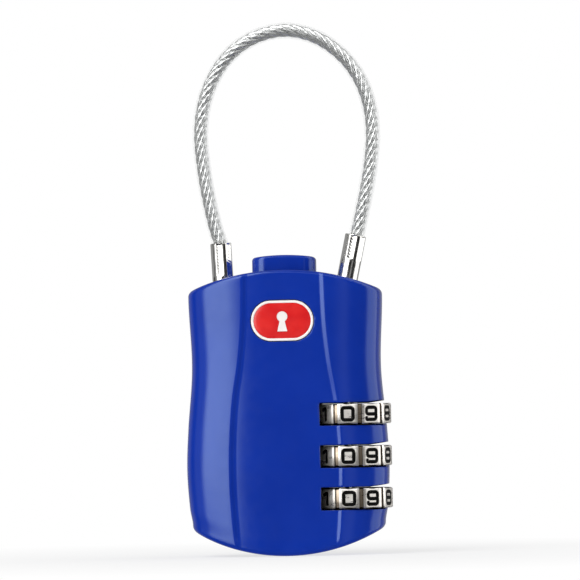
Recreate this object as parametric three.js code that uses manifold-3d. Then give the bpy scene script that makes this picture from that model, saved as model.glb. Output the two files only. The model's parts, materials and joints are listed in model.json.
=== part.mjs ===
// A travel padlock: a glossy die-cast body in two halves, three number dials on its right side, a push
// button on top, a key cylinder in its bottom, and a loop of sheathed wire rope with a ferrule at each
// end. The left ferrule is pinned in the body and the right one pulls out of its socket.
//
// Millimetres. +Z is up, -Y is the front, +X is the side with the dials. The origin is the lowest point
// of the body, on its centre line and on the plane where its two halves meet.

import * as THREE from 'three';
import { mergeVertices } from 'three/addons/utils/BufferGeometryUtils.js';
import Module from 'manifold-3d';

const wasm = await Module();
wasm.setup();

// ---- driving dimensions ----

const BODY = {
  height: 46.7,
  halfDepth: 7.0,
  rearFlat: 6.75, // the rear face is flat at this distance from the joint plane
  roundness: 3, // power of the superellipse that rounds the body from front to side
  topRadius: 39, // the top and bottom are shallow arcs from side to side
  bottomRadius: 30.6,
  topCorner: 43.3, // height of the corner at each end of those arcs
  bottomCorner: 4.2,
  frontEdge: 0.7, // rounding where the top and bottom meet the front
  sideEdge: 0.7, // and where they meet the sides
  seam: 0.03, // half the gap between the two covers
};
const WAIST = { z: [4.2, 7, 13.5, 20.5, 31, 43.3], halfWidth: [15.75, 16.2, 16.55, 16.25, 15.45, 15.85] };
const PANEL = {
  z: [0, 7.2, 13.3, 19.4, 25.5, 31.4, 37.5, 46.7],
  halfWidth: [7.85, 8.5, 8.85, 8.75, 8.2, 7.15, 6.5, 6.3],
  recess: 0.3,
  stepWidth: 0.25,
};
const CAVITY = {
  left: -12.2,
  right: 12.2,
  rightBesideDials: 3.4,
  halfDepth: 4.5,
  bottom: 4.6,
  sill: 27.6,
  top: 43.1,
};

const DIAL = {
  x: 10.45,
  centres: [23, 16.1, 9.2],
  thickness: 3.3,
  digits: 10,
  flat: 6.45, // from the axis to the flat that carries a digit
  flatHalfAngle: 14.2,
  groove: 6.2, // from the axis to the bottom of the groove between two flats
  grooveHalfAngle: 2.2,
};
const DIAL_BORE = { radius: 3.65, notch: 4.15, counterbore: 0.95, toothHalf: 0.13, gapHalf: 0.17 };
const FIRST_DIGIT = -92.5; // degrees from +X about +Z to the middle of the digit on show
const SLOT = { height: 3.75, left: 5.6, radius: 6.8, riseFrom: 13.2, right: 17, rise: 0.4 };
const SLEEVE = { radius: 3.45, bore: 1.3, bottom: -3.75, top: 0.7, collar: 4.2, collarHeight: 0.9 };
const SLEEVE_CUP = { radius: 1.75, depth: 0.5 }; // the recess in a sleeve's bottom that its clip sits in
const GATE = { inner: 3.6, outer: 5, halfWidth: 0.9 }; // the notch in a sleeve's collar
const CLIP = { radius: 1.62, thickness: 0.35 };
const POCKET = { radius: 4.5, bottom: -3.975 };
const SPINDLE = { radius: 1.15, bottom: 4.2, top: 29.6, hole: 1.42, fit: 0.06 };
const CUP = { radius: 2.3, room: 2.7, height: 1.2, cap: 0.5 };
const RESET_HOLE = 0.8; // radius; a pen tip lifts the spindle through it
const DETENT = { x: [2.95, 3.2], y: [1.5, 4.1], z: [6, 26.3], tip: 4.05, bumpY: [1.9, 3.2] };

const BUTTON = { halfWidth: 5.2, halfDepth: 3.7, corner: 2.2, top: 49.2, crown: 0.35, base: 42, travel: 2 };
const FLANGE = { halfWidth: 5.9, halfDepth: 4 };
const LATCH = { bottom: 37, top: 38.2, travel: 1.4, halfDepth: 2.6, tip: 7.0, left: -4.8, bar: 1.4 };
const STEM = { left: -1.9, right: 1.3, halfDepth: 1.5, clearance: 0.1 };
const FENCE = { left: 1.7, right: 2.9, halfDepth: 1, bottom: 6.7, top: 32.5, foot: -2.8, footHeight: 1.2 };
const LATCH_SPRING = { left: -7.9, radius: 0.42, wire: 0.1, length: 3.05 };
const FINGER = { tip: 6.0, halfWidth: 0.8, bottom: -2.45, top: -1.95 };

const FERRULE = { radius: 1.72, bore: 1.56, boreDepth: 1.6, socket: 1.95 };
const FIXED_END = { x: -10.39, z: 51.4, lean: -2.6, length: 16 }; // lean in degrees towards +X
const FREE_END = { x: 11.85, z: 52.3, lean: 12, length: 17 };
const PLUG = { radius: 1.5, shoulder: 9, groove: 1.0 };

const ROPE = { radius: 1.05, sheathBore: 1.12, sheath: 1.3, sides: 8, steps: 28 };
const ROUTE = [ // x and z of the cable's centre line, from the fixed ferrule to the free one
  [-10.38, 50.1], [-10.5, 51.4], [-11.25, 53.95], [-12.35, 59.2], [-13.1, 64.5], [-13.4, 69.0],
  [-12.95, 73.4], [-11.5, 77.8], [-8.6, 82.1], [-4.5, 85.0], [0.7, 86.2], [5.6, 85.1],
  [9.6, 82.4], [12.5, 78.8], [14.3, 74.3], [14.88, 69.2], [14.45, 64.0], [13.5, 58.8],
  [12.4, 53.9], [12.02, 52.3], [11.78, 51.1],
];

const KEY = { x: -6.5, shell: 3.6, shellBore: 2.8, plug: 2.65, face: 2.1, top: 19.4, keywayTop: 17 };
const KEYWAY = { halfWidth: 0.45, halfDepth: 1.95 };
const WAFERS = { count: 5, first: 4.5, pitch: 2.4, thickness: 0.5, halfWidth: 1.65, halfDepth: 1.95 };
const CAM = { disc: 2.5, arm: 4.1, armHalfWidth: 0.9, thickness: 1.2, lift: 0.15, screwHole: 0.72 };
const BADGE = { x: -0.2, z: 38.4, halfWidth: 5.1, halfHeight: 3.3, rim: 0.42, floor: -6.2 };

const BLOCK = { left: -12, right: 12, halfDepth: 4.3, bottom: 33.2, top: 39.8 };
const CARRIER = { right: 0.9, bottom: 4.8, top: 18.6 };
const BRIDGE = { right: 1.3, bottom: 23.6, top: 24.8 };
const DOWEL = { radius: 0.8, halfLength: 3.2, clearance: 0.06 };
const DOWELS = [[-13.7, 12.5], [-13.5, 33], [12.8, 4.3], [13.6, 38]]; // x and z
const FERRULE_PIN = { x: -7.94, z: 36.6, radius: 0.5, halfLength: 4.2 };

// ---- materials ----

const metal = (color, roughness) => new THREE.MeshStandardMaterial({ color, roughness, metalness: 1 });
const enamel = (color, roughness) => new THREE.MeshStandardMaterial({ color, roughness, metalness: 0 });
const BLUE = enamel(0x15339c, 0.18);
const NICKEL = metal(0xd8d4cc, 0.2);
const DIAL_METAL = metal(0xcfc8bd, 0.25);
const STEEL = metal(0xa9adb0, 0.35);
const ZINC = metal(0x8e9296, 0.55);
const BRASS = metal(0xc9a759, 0.35);
const ROPE_STEEL = metal(0xb9bdbd, 0.35);
const CLEAR_SHEATH = enamel(0xe6eae8, 0.15);
const RED = enamel(0xc0282c, 0.3);
const WHITE = enamel(0xf0ece8, 0.35);

// ---- closed meshes and solids ----

const radians = THREE.MathUtils.degToRad;

// A boolean solid from a closed geometry.
function solid(geometry) {
  const bare = geometry.clone();
  bare.deleteAttribute('normal');
  bare.deleteAttribute('uv');
  const merged = mergeVertices(bare, 1e-5);
  return new wasm.Manifold(new wasm.Mesh({
    numProp: 3,
    vertProperties: new Float32Array(merged.attributes.position.array),
    triVerts: new Uint32Array(merged.index.array),
  }));
}

// The geometry of a boolean solid.
function geometryOf(body) {
  const mesh = body.getMesh();
  const geometry = new THREE.BufferGeometry();
  geometry.setAttribute('position', new THREE.BufferAttribute(new Float32Array(mesh.vertProperties), 3));
  geometry.setIndex(new THREE.BufferAttribute(new Uint32Array(mesh.triVerts), 1));
  geometry.computeVertexNormals();
  return geometry;
}

const cut = (body, tools) => tools.reduce((rest, tool) => rest.subtract(tool), body);
const join = (bodies) => bodies.reduce((whole, body) => whole.add(body));

function box([x0, x1], [y0, y1], [z0, z1]) {
  const geometry = new THREE.BoxGeometry(x1 - x0, y1 - y0, z1 - z0);
  return geometry.translate((x0 + x1) / 2, (y0 + y1) / 2, (z0 + z1) / 2);
}

// A cylinder about a vertical axis.
function post(radius, x, [z0, z1], sides = 24) {
  const geometry = new THREE.CylinderGeometry(radius, radius, z1 - z0, sides);
  return geometry.rotateX(Math.PI / 2).translate(x, 0, (z0 + z1) / 2);
}

// A cylinder about an axis from front to back.
function crossPost(radius, x, z, [y0, y1], sides = 16) {
  return new THREE.CylinderGeometry(radius, radius, y1 - y0, sides).translate(x, (y0 + y1) / 2, z);
}

// A flat outline in X and Y, raised from one height to another.
function upright(shape, [z0, z1]) {
  return new THREE.ExtrudeGeometry(shape, { depth: z1 - z0, bevelEnabled: false, curveSegments: 6 })
    .translate(0, 0, z0);
}

// A flat outline in X and Z, run from front to back.
function crosswise(shape, [y0, y1], curveSegments = 6) {
  return new THREE.ExtrudeGeometry(shape, { depth: y1 - y0, bevelEnabled: false, curveSegments })
    .rotateX(Math.PI / 2)
    .translate(0, y1, 0);
}

const outline = (points) => new THREE.Shape(points.map(([x, y]) => new THREE.Vector2(x, y)));

function roundedRectangle(halfWidth, halfHeight, radius) {
  const shape = new THREE.Shape();
  const [w, h] = [halfWidth - radius, halfHeight - radius];
  shape.absarc(w, h, radius, 0, Math.PI / 2);
  shape.absarc(-w, h, radius, Math.PI / 2, Math.PI);
  shape.absarc(-w, -h, radius, Math.PI, 1.5 * Math.PI);
  shape.absarc(w, -h, radius, 1.5 * Math.PI, 2 * Math.PI);
  return shape;
}

// A turned piece about +Z, from [radius, height] points that start and end on the axis or close up.
function turned(points, sides = 24) {
  const profile = points.map(([r, z]) => new THREE.Vector2(r, z));
  return new THREE.LatheGeometry(profile, sides).rotateX(Math.PI / 2);
}

// A coil spring about +Z between two heights.
class Helix extends THREE.Curve {
  constructor(radius, turns, [z0, z1]) {
    super();
    Object.assign(this, { radius, turns, z0, z1 });
  }

  getPoint(t, target = new THREE.Vector3()) {
    const angle = 2 * Math.PI * this.turns * t;
    const height = this.z0 + (this.z1 - this.z0) * t;
    return target.set(this.radius * Math.cos(angle), this.radius * Math.sin(angle), height);
  }
}

function coilSpring(radius, wire, turns, [z0, z1]) {
  const section = outline(ring(wire, 5));
  const path = new Helix(radius, turns, [z0 + wire, z1 - wire]);
  return new THREE.ExtrudeGeometry(section, { steps: turns * 9, bevelEnabled: false, extrudePath: path });
}

// Points round a circle.
function ring(radius, count) {
  const angles = Array.from({ length: count }, (_, i) => (2 * Math.PI * i) / count);
  return angles.map((a) => [radius * Math.cos(a), radius * Math.sin(a)]);
}

// ---- the outside of the body ----

const spline = ({ z, halfWidth }) => {
  const curve = new THREE.CubicInterpolant(z, halfWidth, 1, [0]);
  return (height) => curve.evaluate(height)[0];
};
const bodyHalfWidth = spline(WAIST);
const panelHalfWidth = spline(PANEL);
const arcDrop = (radius, x) => radius - Math.sqrt(radius * radius - x * x);
const topAt = (x) => BODY.height - arcDrop(BODY.topRadius, x);
const bottomAt = (x) => arcDrop(BODY.bottomRadius, x);

// Steps along a quarter of the section: round the side to the panel's step, down it, and to the centre.
const SIDE_STEPS = 8;
const PANEL_STEPS = 3;
const QUARTER = SIDE_STEPS + 1 + PANEL_STEPS;

function quarterX(step, halfWidth, crease) {
  if (step > SIDE_STEPS) return (crease * (QUARTER - step)) / PANEL_STEPS;
  const stepEdge = (crease + PANEL.stepWidth) / halfWidth;
  const turn = Math.acos(stepEdge ** (BODY.roundness / 2)) * (step / SIDE_STEPS);
  return halfWidth * Math.cos(turn) ** (2 / BODY.roundness);
}

// One corner of the body's surface: its column round the section, and its level up the body.
function surfacePoint(column, { rise, tuck }) {
  const quarter = Math.floor(column / QUARTER);
  const along = column % QUARTER;
  const step = quarter % 2 === 0 ? along : QUARTER - along;
  const right = quarter === 0 || quarter === 3;
  const rear = quarter < 2;
  const height = THREE.MathUtils.lerp(BODY.bottomCorner, BODY.topCorner, rise);
  const halfWidth = bodyHalfWidth(height);
  const fullX = quarterX(step, halfWidth, panelHalfWidth(height));
  const roundedOff = Math.max(0, 1 - (fullX / halfWidth) ** BODY.roundness);
  const bulge = BODY.halfDepth * roundedOff ** (1 / BODY.roundness);
  const fullY = rear ? Math.min(bulge, BODY.rearFlat) : bulge - (step > SIDE_STEPS ? PANEL.recess : 0);
  const edge = THREE.MathUtils.lerp(BODY.frontEdge, BODY.sideEdge, (fullX / halfWidth) ** 4);
  const inward = edge * (1 - Math.cos(tuck));
  const x = fullX * (1 - inward / halfWidth);
  const y = fullY * (1 - inward / BODY.halfDepth);
  const reach = edge * (1 - Math.sin(tuck));
  const z = THREE.MathUtils.lerp(bottomAt(x) + reach, topAt(x) - reach, rise);
  return [right ? x : -x, rear ? y : -y, z];
}

function bodyOutside() {
  const WALL_LEVELS = 10;
  const EDGE_LEVELS = 3;
  const levels = [];
  for (let i = EDGE_LEVELS; i > 0; i--) levels.push({ rise: 0, tuck: (i / EDGE_LEVELS) * (Math.PI / 2) });
  for (let i = 0; i <= WALL_LEVELS; i++) levels.push({ rise: i / WALL_LEVELS, tuck: 0 });
  for (let i = 1; i <= EDGE_LEVELS; i++) levels.push({ rise: 1, tuck: (i / EDGE_LEVELS) * (Math.PI / 2) });

  const columns = 4 * QUARTER;
  const positions = levels.flatMap((level) =>
    Array.from({ length: columns }, (_, column) => surfacePoint(column, level)).flat());
  const at = (level, column) => level * columns + (column % columns);
  const faces = [];
  const quad = (a, b, c, d) => faces.push(a, b, c, a, c, d);
  for (let level = 0; level < levels.length - 1; level++) {
    for (let column = 0; column < columns; column++) {
      quad(at(level, column), at(level, column + 1), at(level + 1, column + 1), at(level + 1, column));
    }
  }
  const last = levels.length - 1;
  for (let column = 0; column < columns / 2; column++) {
    const across = columns - column;
    quad(at(last, column), at(last, column + 1), at(last, across - 1), at(last, across));
    quad(at(0, column + 1), at(0, column), at(0, across), at(0, across - 1));
  }
  const geometry = new THREE.BufferGeometry();
  geometry.setAttribute('position', new THREE.BufferAttribute(new Float32Array(positions), 3));
  geometry.setIndex(faces.filter((_, i, all) => {
    const corner = i - (i % 3);
    return new Set([all[corner], all[corner + 1], all[corner + 2]]).size === 3;
  }));
  return geometry;
}

// ---- what is cut out of the covers and the blocks inside them ----

// Puts a geometry made about +Z at a ferrule's mouth, on its leaning axis.
function onFerruleAxis(geometry, end) {
  return geometry.rotateY(radians(end.lean)).translate(end.x, 0, end.z);
}

const socketTool = (end) => solid(onFerruleAxis(post(FERRULE.socket, 0, [-end.length - 1, 0]), end));
const sockets = [FIXED_END, FREE_END].map(socketTool);

// A dial's slot, the pocket under it for the sleeve, and the openings in the wall beside it for the
// fence's finger and the detent spring's bump.
function dialTools(centre) {
  const half = SLOT.height / 2;
  const wall = CAVITY.rightBesideDials - 0.1;
  const fingerWay = [centre + FINGER.bottom - BUTTON.travel - 0.15, centre - half + 0.1];
  // The slot opens upwards a little towards the body's side.
  const opening = outline([
    [SLOT.left, -half],
    [SLOT.right, -half],
    [SLOT.right, half + SLOT.rise],
    [SLOT.riseFrom, half],
    [SLOT.left, half],
  ]);
  return [
    solid(post(SLOT.radius, DIAL.x, [centre - half, centre + half], 30)),
    solid(crosswise(opening, [-10, 10]).translate(0, 0, centre)),
    solid(post(POCKET.radius, DIAL.x, [centre + POCKET.bottom, centre - half + 0.1])),
    solid(box([wall, DIAL.x - SLEEVE.collar + 0.1], [-1.2, 1.2], fingerWay)),
    solid(box([wall, DETENT.tip + 0.6], [1.6, 4.1], [centre - 1.1, centre + 1.1])),
  ];
}

function coverTools() {
  const { left, right, rightBesideDials, halfDepth, bottom, sill, top } = CAVITY;
  const buttonWell = roundedRectangle(BUTTON.halfWidth + 0.2, BUTTON.halfDepth + 0.2, BUTTON.corner);
  const reach = DOWEL.halfLength + 0.1;
  return [
    solid(box([left, rightBesideDials], [-halfDepth, halfDepth], [bottom, sill])),
    solid(box([left, right], [-halfDepth, halfDepth], [sill - 0.1, top])),
    solid(upright(buttonWell, [top - 0.1, 50])),
    solid(post(KEY.shell + 0.1, KEY.x, [-1, bottom + 0.1])),
    solid(post(SPINDLE.hole, DIAL.x, [SPINDLE.bottom - 0.2, sill + 0.1], 16)),
    solid(post(CUP.room, DIAL.x, [sill, BLOCK.bottom + 0.1])),
    solid(post(RESET_HOLE, DIAL.x, [0, SPINDLE.bottom - 0.1], 12)),
    ...sockets,
    ...DIAL.centres.flatMap(dialTools),
    ...DOWELS.map(([x, z]) => solid(crossPost(DOWEL.radius + DOWEL.clearance, x, z, [-reach, reach]))),
  ];
}

const badgeOval = (inset) => roundedRectangle(
  BADGE.halfWidth - inset, BADGE.halfHeight - inset, BADGE.halfHeight - inset - 0.01);
const badgePiece = (shape, depths) => crosswise(shape, depths, 5).translate(BADGE.x, 0, BADGE.z);

function covers() {
  const whole = cut(solid(bodyOutside()), coverTools());
  const front = whole.intersect(solid(box([-30, 30], [-20, -BODY.seam], [-5, 60])));
  const rear = whole.intersect(solid(box([-30, 30], [BODY.seam, 20], [-5, 60])));
  const pocket = solid(badgePiece(badgeOval(-0.12), [-9, BADGE.floor]));
  return { front_cover: geometryOf(front.subtract(pocket)), rear_cover: geometryOf(rear) };
}

// ---- blocks, pins and plates fixed inside the body ----

// The blocks fill the cavity from front to back.
const across = (half) => [-half, half];
const filling = (x, z) => box(x, across(BLOCK.halfDepth), z);

function latchBlock() {
  const wellWidth = [LATCH.left - 0.1, STEM.right + 0.2];
  const tunnel = [LATCH.bottom - 0.1, LATCH.top + 0.1];
  return geometryOf(cut(solid(filling([BLOCK.left, BLOCK.right], [BLOCK.bottom, BLOCK.top])), [
    ...sockets,
    solid(box(wellWidth, across(STEM.halfDepth + 0.2), [BLOCK.bottom - 1, BLOCK.top + 1])),
    solid(box([LATCH_SPRING.left, 8], across(LATCH.halfDepth + 0.1), tunnel)),
    solid(crossPost(FERRULE_PIN.radius + 0.06, FERRULE_PIN.x, FERRULE_PIN.z, [-5, 5])),
  ]));
}

function cylinderCarrier() {
  const block = solid(filling([BLOCK.left, CARRIER.right], [CARRIER.bottom, CARRIER.top]));
  return geometryOf(block.subtract(solid(post(KEY.shell + 0.1, KEY.x, [0, 30]))));
}

const springBridge = () => filling([BLOCK.left, BRIDGE.right], [BRIDGE.bottom, BRIDGE.top]);

// A strip beside the dials with one bump that presses on each of them.
function detentSpring() {
  const strip = solid(box(DETENT.x, DETENT.y, DETENT.z));
  const root = DETENT.x[1] - 0.1;
  const bump = outline([[root, -0.6], [DETENT.tip, -0.15], [DETENT.tip, 0.15], [root, 0.6]]);
  const bumps = DIAL.centres.map((z) => solid(crosswise(bump, DETENT.bumpY).translate(0, 0, z)));
  return geometryOf(join([strip, ...bumps]));
}

// ---- badge: a generic oval enamel plate with a keyhole ----

function keyhole() {
  const shape = new THREE.Shape();
  const [eye, neck, foot, drop] = [0.85, radians(60), 0.8, 1.75];
  const lift = 0.65;
  shape.absarc(0, lift, eye, -Math.PI / 2 + neck / 2, 1.5 * Math.PI - neck / 2);
  shape.lineTo(-foot, -drop);
  shape.lineTo(foot, -drop);
  return shape;
}

function badge() {
  const [back, floor, face] = [BADGE.floor - 0.03, BADGE.floor - 0.3, BADGE.floor - 0.48];
  const tray = solid(badgePiece(badgeOval(0), [face, back]));
  const hollow = solid(badgePiece(badgeOval(BADGE.rim), [face - 1, floor]));
  const raised = solid(badgePiece(keyhole(), [face, floor + 0.1]));
  const fill = badgePiece(badgeOval(BADGE.rim + 0.03), [face + 0.02, floor - 0.02]);
  const opening = new THREE.Shape(keyhole().getPoints(5).map((p) => p.multiplyScalar(1.06)));
  return {
    badge_plate: geometryOf(tray.subtract(hollow).add(raised)),
    badge_enamel: geometryOf(solid(fill).subtract(solid(badgePiece(opening, [face - 1, floor + 1])))),
  };
}

// ---- button, fence and latch ----

// The button's cap is drawn in above a flange that holds it in; the stem's left side is a ramp.
function pushButton() {
  const { halfWidth, halfDepth, corner, top, crown, base } = BUTTON;
  const shoulder = top - crown;
  const steps = [[0, base], [0, shoulder - 0.5], [0.12, shoulder - 0.2], [0.45, shoulder], [1.6, top]];
  const layers = steps.slice(1).map(([inset, z], i) => {
    const z0 = i === 0 ? base : steps[i][1] - 0.3;
    const ring = roundedRectangle(halfWidth - inset, halfDepth - inset, corner - inset / 2);
    return solid(upright(ring, [z0, z]));
  });
  const flange = box(across(FLANGE.halfWidth), across(FLANGE.halfDepth), [base, CAVITY.top - 0.1]);
  const slope = LATCH.travel / BUTTON.travel;
  const touch = LATCH.left + LATCH.bar + STEM.clearance; // where the ramp meets the latch's window at rest
  const ramp = outline([
    [STEM.right, base + 0.5],
    [touch - LATCH.travel, base + 0.5],
    [touch - LATCH.travel, LATCH.top + BUTTON.travel],
    [touch, LATCH.top],
    [STEM.left, LATCH.top - (STEM.left - touch) / slope],
    [STEM.left, FENCE.top + 0.1],
    [STEM.right, FENCE.top + 0.1],
  ]);
  const stem = crosswise(ramp, across(STEM.halfDepth));
  return geometryOf(join([...layers, solid(flange), solid(stem)]));
}

// The fence hangs under the stem, with one finger for each dial's sleeve.
function gateFence() {
  const { left, right, halfDepth, bottom, top, foot, footHeight } = FENCE;
  const depth = across(halfDepth);
  const fingerWidth = [right - 0.1, FINGER.tip];
  const finger = (z) => box(fingerWidth, across(FINGER.halfWidth), [z + FINGER.bottom, z + FINGER.top]);
  return geometryOf(join([
    solid(box([left, right], depth, [bottom, top])),
    solid(box([foot, right], depth, [top - footHeight, top])),
    ...DIAL.centres.map((z) => solid(finger(z))),
  ]));
}

function latchBolt() {
  const { left, tip, bottom, top, halfDepth } = LATCH;
  const plate = solid(box([left, 4.6], across(halfDepth), [bottom, top]));
  const nose = solid(box([4.5, tip], across(1.2), [bottom, top]));
  const windowWidth = [left + LATCH.bar, STEM.right + LATCH.travel + 0.1];
  const window = solid(box(windowWidth, across(STEM.halfDepth + 0.2), [bottom - 1, top + 1]));
  return geometryOf(plate.add(nose).subtract(window));
}

// ---- dials ----

// Ten flats with a groove between each two, round a bore with ten notches.
function dial(centre) {
  const { digits, flat, groove, thickness } = DIAL;
  const { radius, notch, toothHalf, gapHalf } = DIAL_BORE;
  const pitch = (2 * Math.PI) / digits;
  const flatHalf = radians(DIAL.flatHalfAngle);
  const grooveHalf = radians(DIAL.grooveHalfAngle);
  const corner = flat / Math.cos(flatHalf);
  const rim = [
    [corner, -flatHalf],
    [corner, flatHalf],
    [groove, pitch / 2 - grooveHalf],
    [groove, pitch / 2 + grooveHalf],
  ];
  const teeth = [[notch, -toothHalf], [notch, toothHalf], [radius, gapHalf], [radius, pitch - gapHalf]];
  const points = [];
  const notches = [];
  for (let i = 0; i < digits; i++) {
    const middle = radians(FIRST_DIGIT) + i * pitch;
    const at = ([r, a]) => [r * Math.cos(middle + a), r * Math.sin(middle + a)];
    points.push(...rim.map(at));
    notches.push(...teeth.map(at));
  }
  const bottom = centre - thickness / 2;
  const shape = outline(points);
  shape.holes.push(outline(notches));
  const wheel = upright(shape, [bottom, bottom + thickness]).translate(DIAL.x, 0, 0);
  const counterbore = post(notch + 0.05, DIAL.x, [bottom + DIAL_BORE.counterbore, bottom + 5]);
  return geometryOf(solid(wheel).subtract(solid(counterbore)));
}

// The sleeve turns with its dial by one key; the notch in its collar is the gate for the fence.
function clutchSleeve(centre) {
  const { radius, bore, bottom, top, collar, collarHeight } = SLEEVE;
  const [low, high] = [centre + bottom, centre + top];
  const keyBlank = box([0, 3.95], [-0.38, 0.38], [centre - 1.5, centre - 0.8]);
  const keyTooth = solid(keyBlank.rotateZ(radians(FIRST_DIGIT)).translate(DIAL.x, 0, 0));
  const sleeve = join([
    solid(post(radius, DIAL.x, [low, high])),
    solid(post(collar, DIAL.x, [low, low + collarHeight])),
    keyTooth,
  ]);
  const gateHeight = [low - 1, low + collarHeight + 0.01];
  return geometryOf(cut(sleeve, [
    solid(post(bore, DIAL.x, [low - 1, high + 1], 16)),
    solid(post(SLEEVE_CUP.radius, DIAL.x, [low - 1, low + SLEEVE_CUP.depth], 16)),
    solid(box([DIAL.x - GATE.outer, DIAL.x - GATE.inner], across(GATE.halfWidth), gateHeight)),
  ]));
}

// The bore of a piece that is fixed on the spindle.
const spindleBore = ([low, high]) => solid(post(SPINDLE.radius + SPINDLE.fit, DIAL.x, [low, high], 16));

// A ring under each sleeve, which lifts it with the spindle.
function clip(centre) {
  const low = centre + SLEEVE.bottom + 0.05;
  const body = solid(post(CLIP.radius, DIAL.x, [low, low + CLIP.thickness], 16));
  return geometryOf(body.subtract(spindleBore([low - 1, low + 1])));
}

const spindle = () => post(SPINDLE.radius, DIAL.x, [SPINDLE.bottom, SPINDLE.top], 16);

// A cap pinched on the spindle's top, for its spring to press on.
function spindleCup() {
  const body = solid(post(CUP.radius, DIAL.x, [SPINDLE.top - CUP.height, SPINDLE.top + CUP.cap]));
  return geometryOf(body.subtract(spindleBore([SPINDLE.top - 5, SPINDLE.top + 0.05])));
}

// ---- key cylinder ----

function keyShell() {
  const { x, shell, shellBore, face, top } = KEY;
  const tube = solid(post(shell, x, [face - 0.2, top - 0.2]));
  return geometryOf(tube.subtract(solid(post(shellBore, x, [0, 30]))));
}

const waferHeights = Array.from({ length: WAFERS.count }, (_, i) => WAFERS.first + i * WAFERS.pitch);

function keyPlug() {
  const { x, plug, face, top, keywayTop } = KEY;
  const beside = (half) => [x - half, x + half];
  const keyway = solid(box(beside(KEYWAY.halfWidth), across(KEYWAY.halfDepth), [face - 1, keywayTop]));
  const slotWidth = beside(WAFERS.halfWidth + 0.1);
  const slotHeight = (z) => [z - 0.1, z + WAFERS.thickness + 0.1];
  const slots = waferHeights.map((z) => solid(box(slotWidth, [-3, 3], slotHeight(z))));
  const screwHole = solid(post(CAM.screwHole, x, [keywayTop + 0.4, 30], 12));
  return geometryOf(cut(solid(post(plug, x, [face, top])), [keyway, ...slots, screwHole]));
}

const rectangle = (w, h) => outline([[-w, -h], [w, -h], [w, h], [-w, h]]);

function wafer(z) {
  const plate = rectangle(WAFERS.halfWidth, WAFERS.halfDepth);
  plate.holes.push(rectangle(0.6, 1.2));
  return upright(plate, [z, z + WAFERS.thickness]).translate(KEY.x, 0, 0);
}

// The plug's tail: a disc with an arm that lifts the fence's catch when the inspector's key turns.
function keyCam() {
  const { x, top } = KEY;
  const heights = [top + CAM.lift, top + CAM.lift + CAM.thickness];
  const disc = solid(post(CAM.disc, x, heights));
  const arm = solid(box([x - CAM.armHalfWidth, x + CAM.armHalfWidth], [-CAM.arm, 0], heights));
  return geometryOf(disc.add(arm).subtract(solid(post(CAM.screwHole, x, [0, 30], 12))));
}

// Its head bears on the cam.
function camScrew() {
  const [foot, head] = [KEY.keywayTop + 0.6, KEY.top + CAM.lift + CAM.thickness + 0.1];
  const profile = [
    [0, foot],
    [0.62, foot],
    [0.62, head],
    [1.3, head],
    [1.3, head + 0.45],
    [1.0, head + 0.75],
    [0, head + 0.75],
  ];
  return turned(profile, 16).translate(KEY.x, 0, 0);
}

// ---- ferrules and cable ----

// Heights are counted down from the ferrule's mouth.
function fixedFerrule() {
  const { radius, bore, boreDepth } = FERRULE;
  return turned([
    [0, -FIXED_END.length], [1.4, -FIXED_END.length], [1.6, -FIXED_END.length + 0.3], [1.6, -15.6],
    [1.15, -15.6], [1.15, -14.0], [radius, -14.0], [radius, -0.15], [bore + 0.05, 0], [bore, 0],
    [bore, -boreDepth], [0, -boreDepth],
  ]);
}

function freeFerrule() {
  const { radius, bore, boreDepth } = FERRULE;
  const { radius: thin, shoulder, groove } = PLUG;
  return turned([
    [0, -FREE_END.length], [0.7, -FREE_END.length], [thin, -16.2], [thin, -15.9],
    [groove, -15.6], [groove, -14.5], [thin, -14.2], [thin, -shoulder], [radius, -shoulder + 0.25],
    [radius, -0.15], [bore + 0.05, 0], [bore, 0], [bore, -boreDepth], [0, -boreDepth],
  ]);
}

function cable() {
  const points = ROUTE.map(([x, z]) => new THREE.Vector3(x, 0, z));
  const path = new THREE.CatmullRomCurve3(points, false, 'centripetal');
  const options = { steps: ROPE.steps, bevelEnabled: false, extrudePath: path };
  const run = (shape) => new THREE.ExtrudeGeometry(shape, options);
  const tube = outline(ring(ROPE.sheath, ROPE.sides));
  tube.holes.push(outline(ring(ROPE.sheathBore, ROPE.sides)));
  return { wire_rope: run(outline(ring(ROPE.radius, ROPE.sides))), cable_sheath: run(tube) };
}

// ---- assembly ----

const padlock = new THREE.Group();

function add(name, geometry, material, parent = padlock) {
  const mesh = new THREE.Mesh(geometry, material);
  mesh.name = name;
  parent.add(mesh);
  return mesh;
}

function addEach(prefix, values, make, material) {
  values.forEach((value, i) => add(`${prefix}_${i + 1}`, make(value), material));
}

function leaningGroup(end) {
  const group = new THREE.Group();
  group.position.set(end.x, 0, end.z);
  group.rotation.y = radians(end.lean);
  padlock.add(group);
  return group;
}

const { front_cover, rear_cover } = covers();
add('front_cover', front_cover, BLUE);
add('rear_cover', rear_cover, BLUE);
addEach('dowel_pin', DOWELS, ([x, z]) => crossPost(DOWEL.radius, x, z, across(DOWEL.halfLength)), STEEL);
add('latch_block', latchBlock(), ZINC);
add('cylinder_carrier', cylinderCarrier(), ZINC);
add('spring_bridge', springBridge(), STEEL);
add('detent_spring', detentSpring(), STEEL);

const { badge_plate, badge_enamel } = badge();
add('badge_plate', badge_plate, WHITE);
add('badge_enamel', badge_enamel, RED);

add('push_button', pushButton(), BLUE);
add('gate_fence', gateFence(), STEEL);
add('latch_bolt', latchBolt(), STEEL);
add('button_spring', coilSpring(1.6, 0.2, 6, [BRIDGE.top, FENCE.top - FENCE.footHeight]), STEEL)
  .position.set(-0.9, 0, 0);
const latchSpring = coilSpring(LATCH_SPRING.radius, LATCH_SPRING.wire, 6, [0, LATCH_SPRING.length]);
latchSpring.rotateY(Math.PI / 2).translate(LATCH_SPRING.left + 0.02, 0, (LATCH.bottom + LATCH.top) / 2);
add('latch_spring', latchSpring, STEEL);

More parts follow.
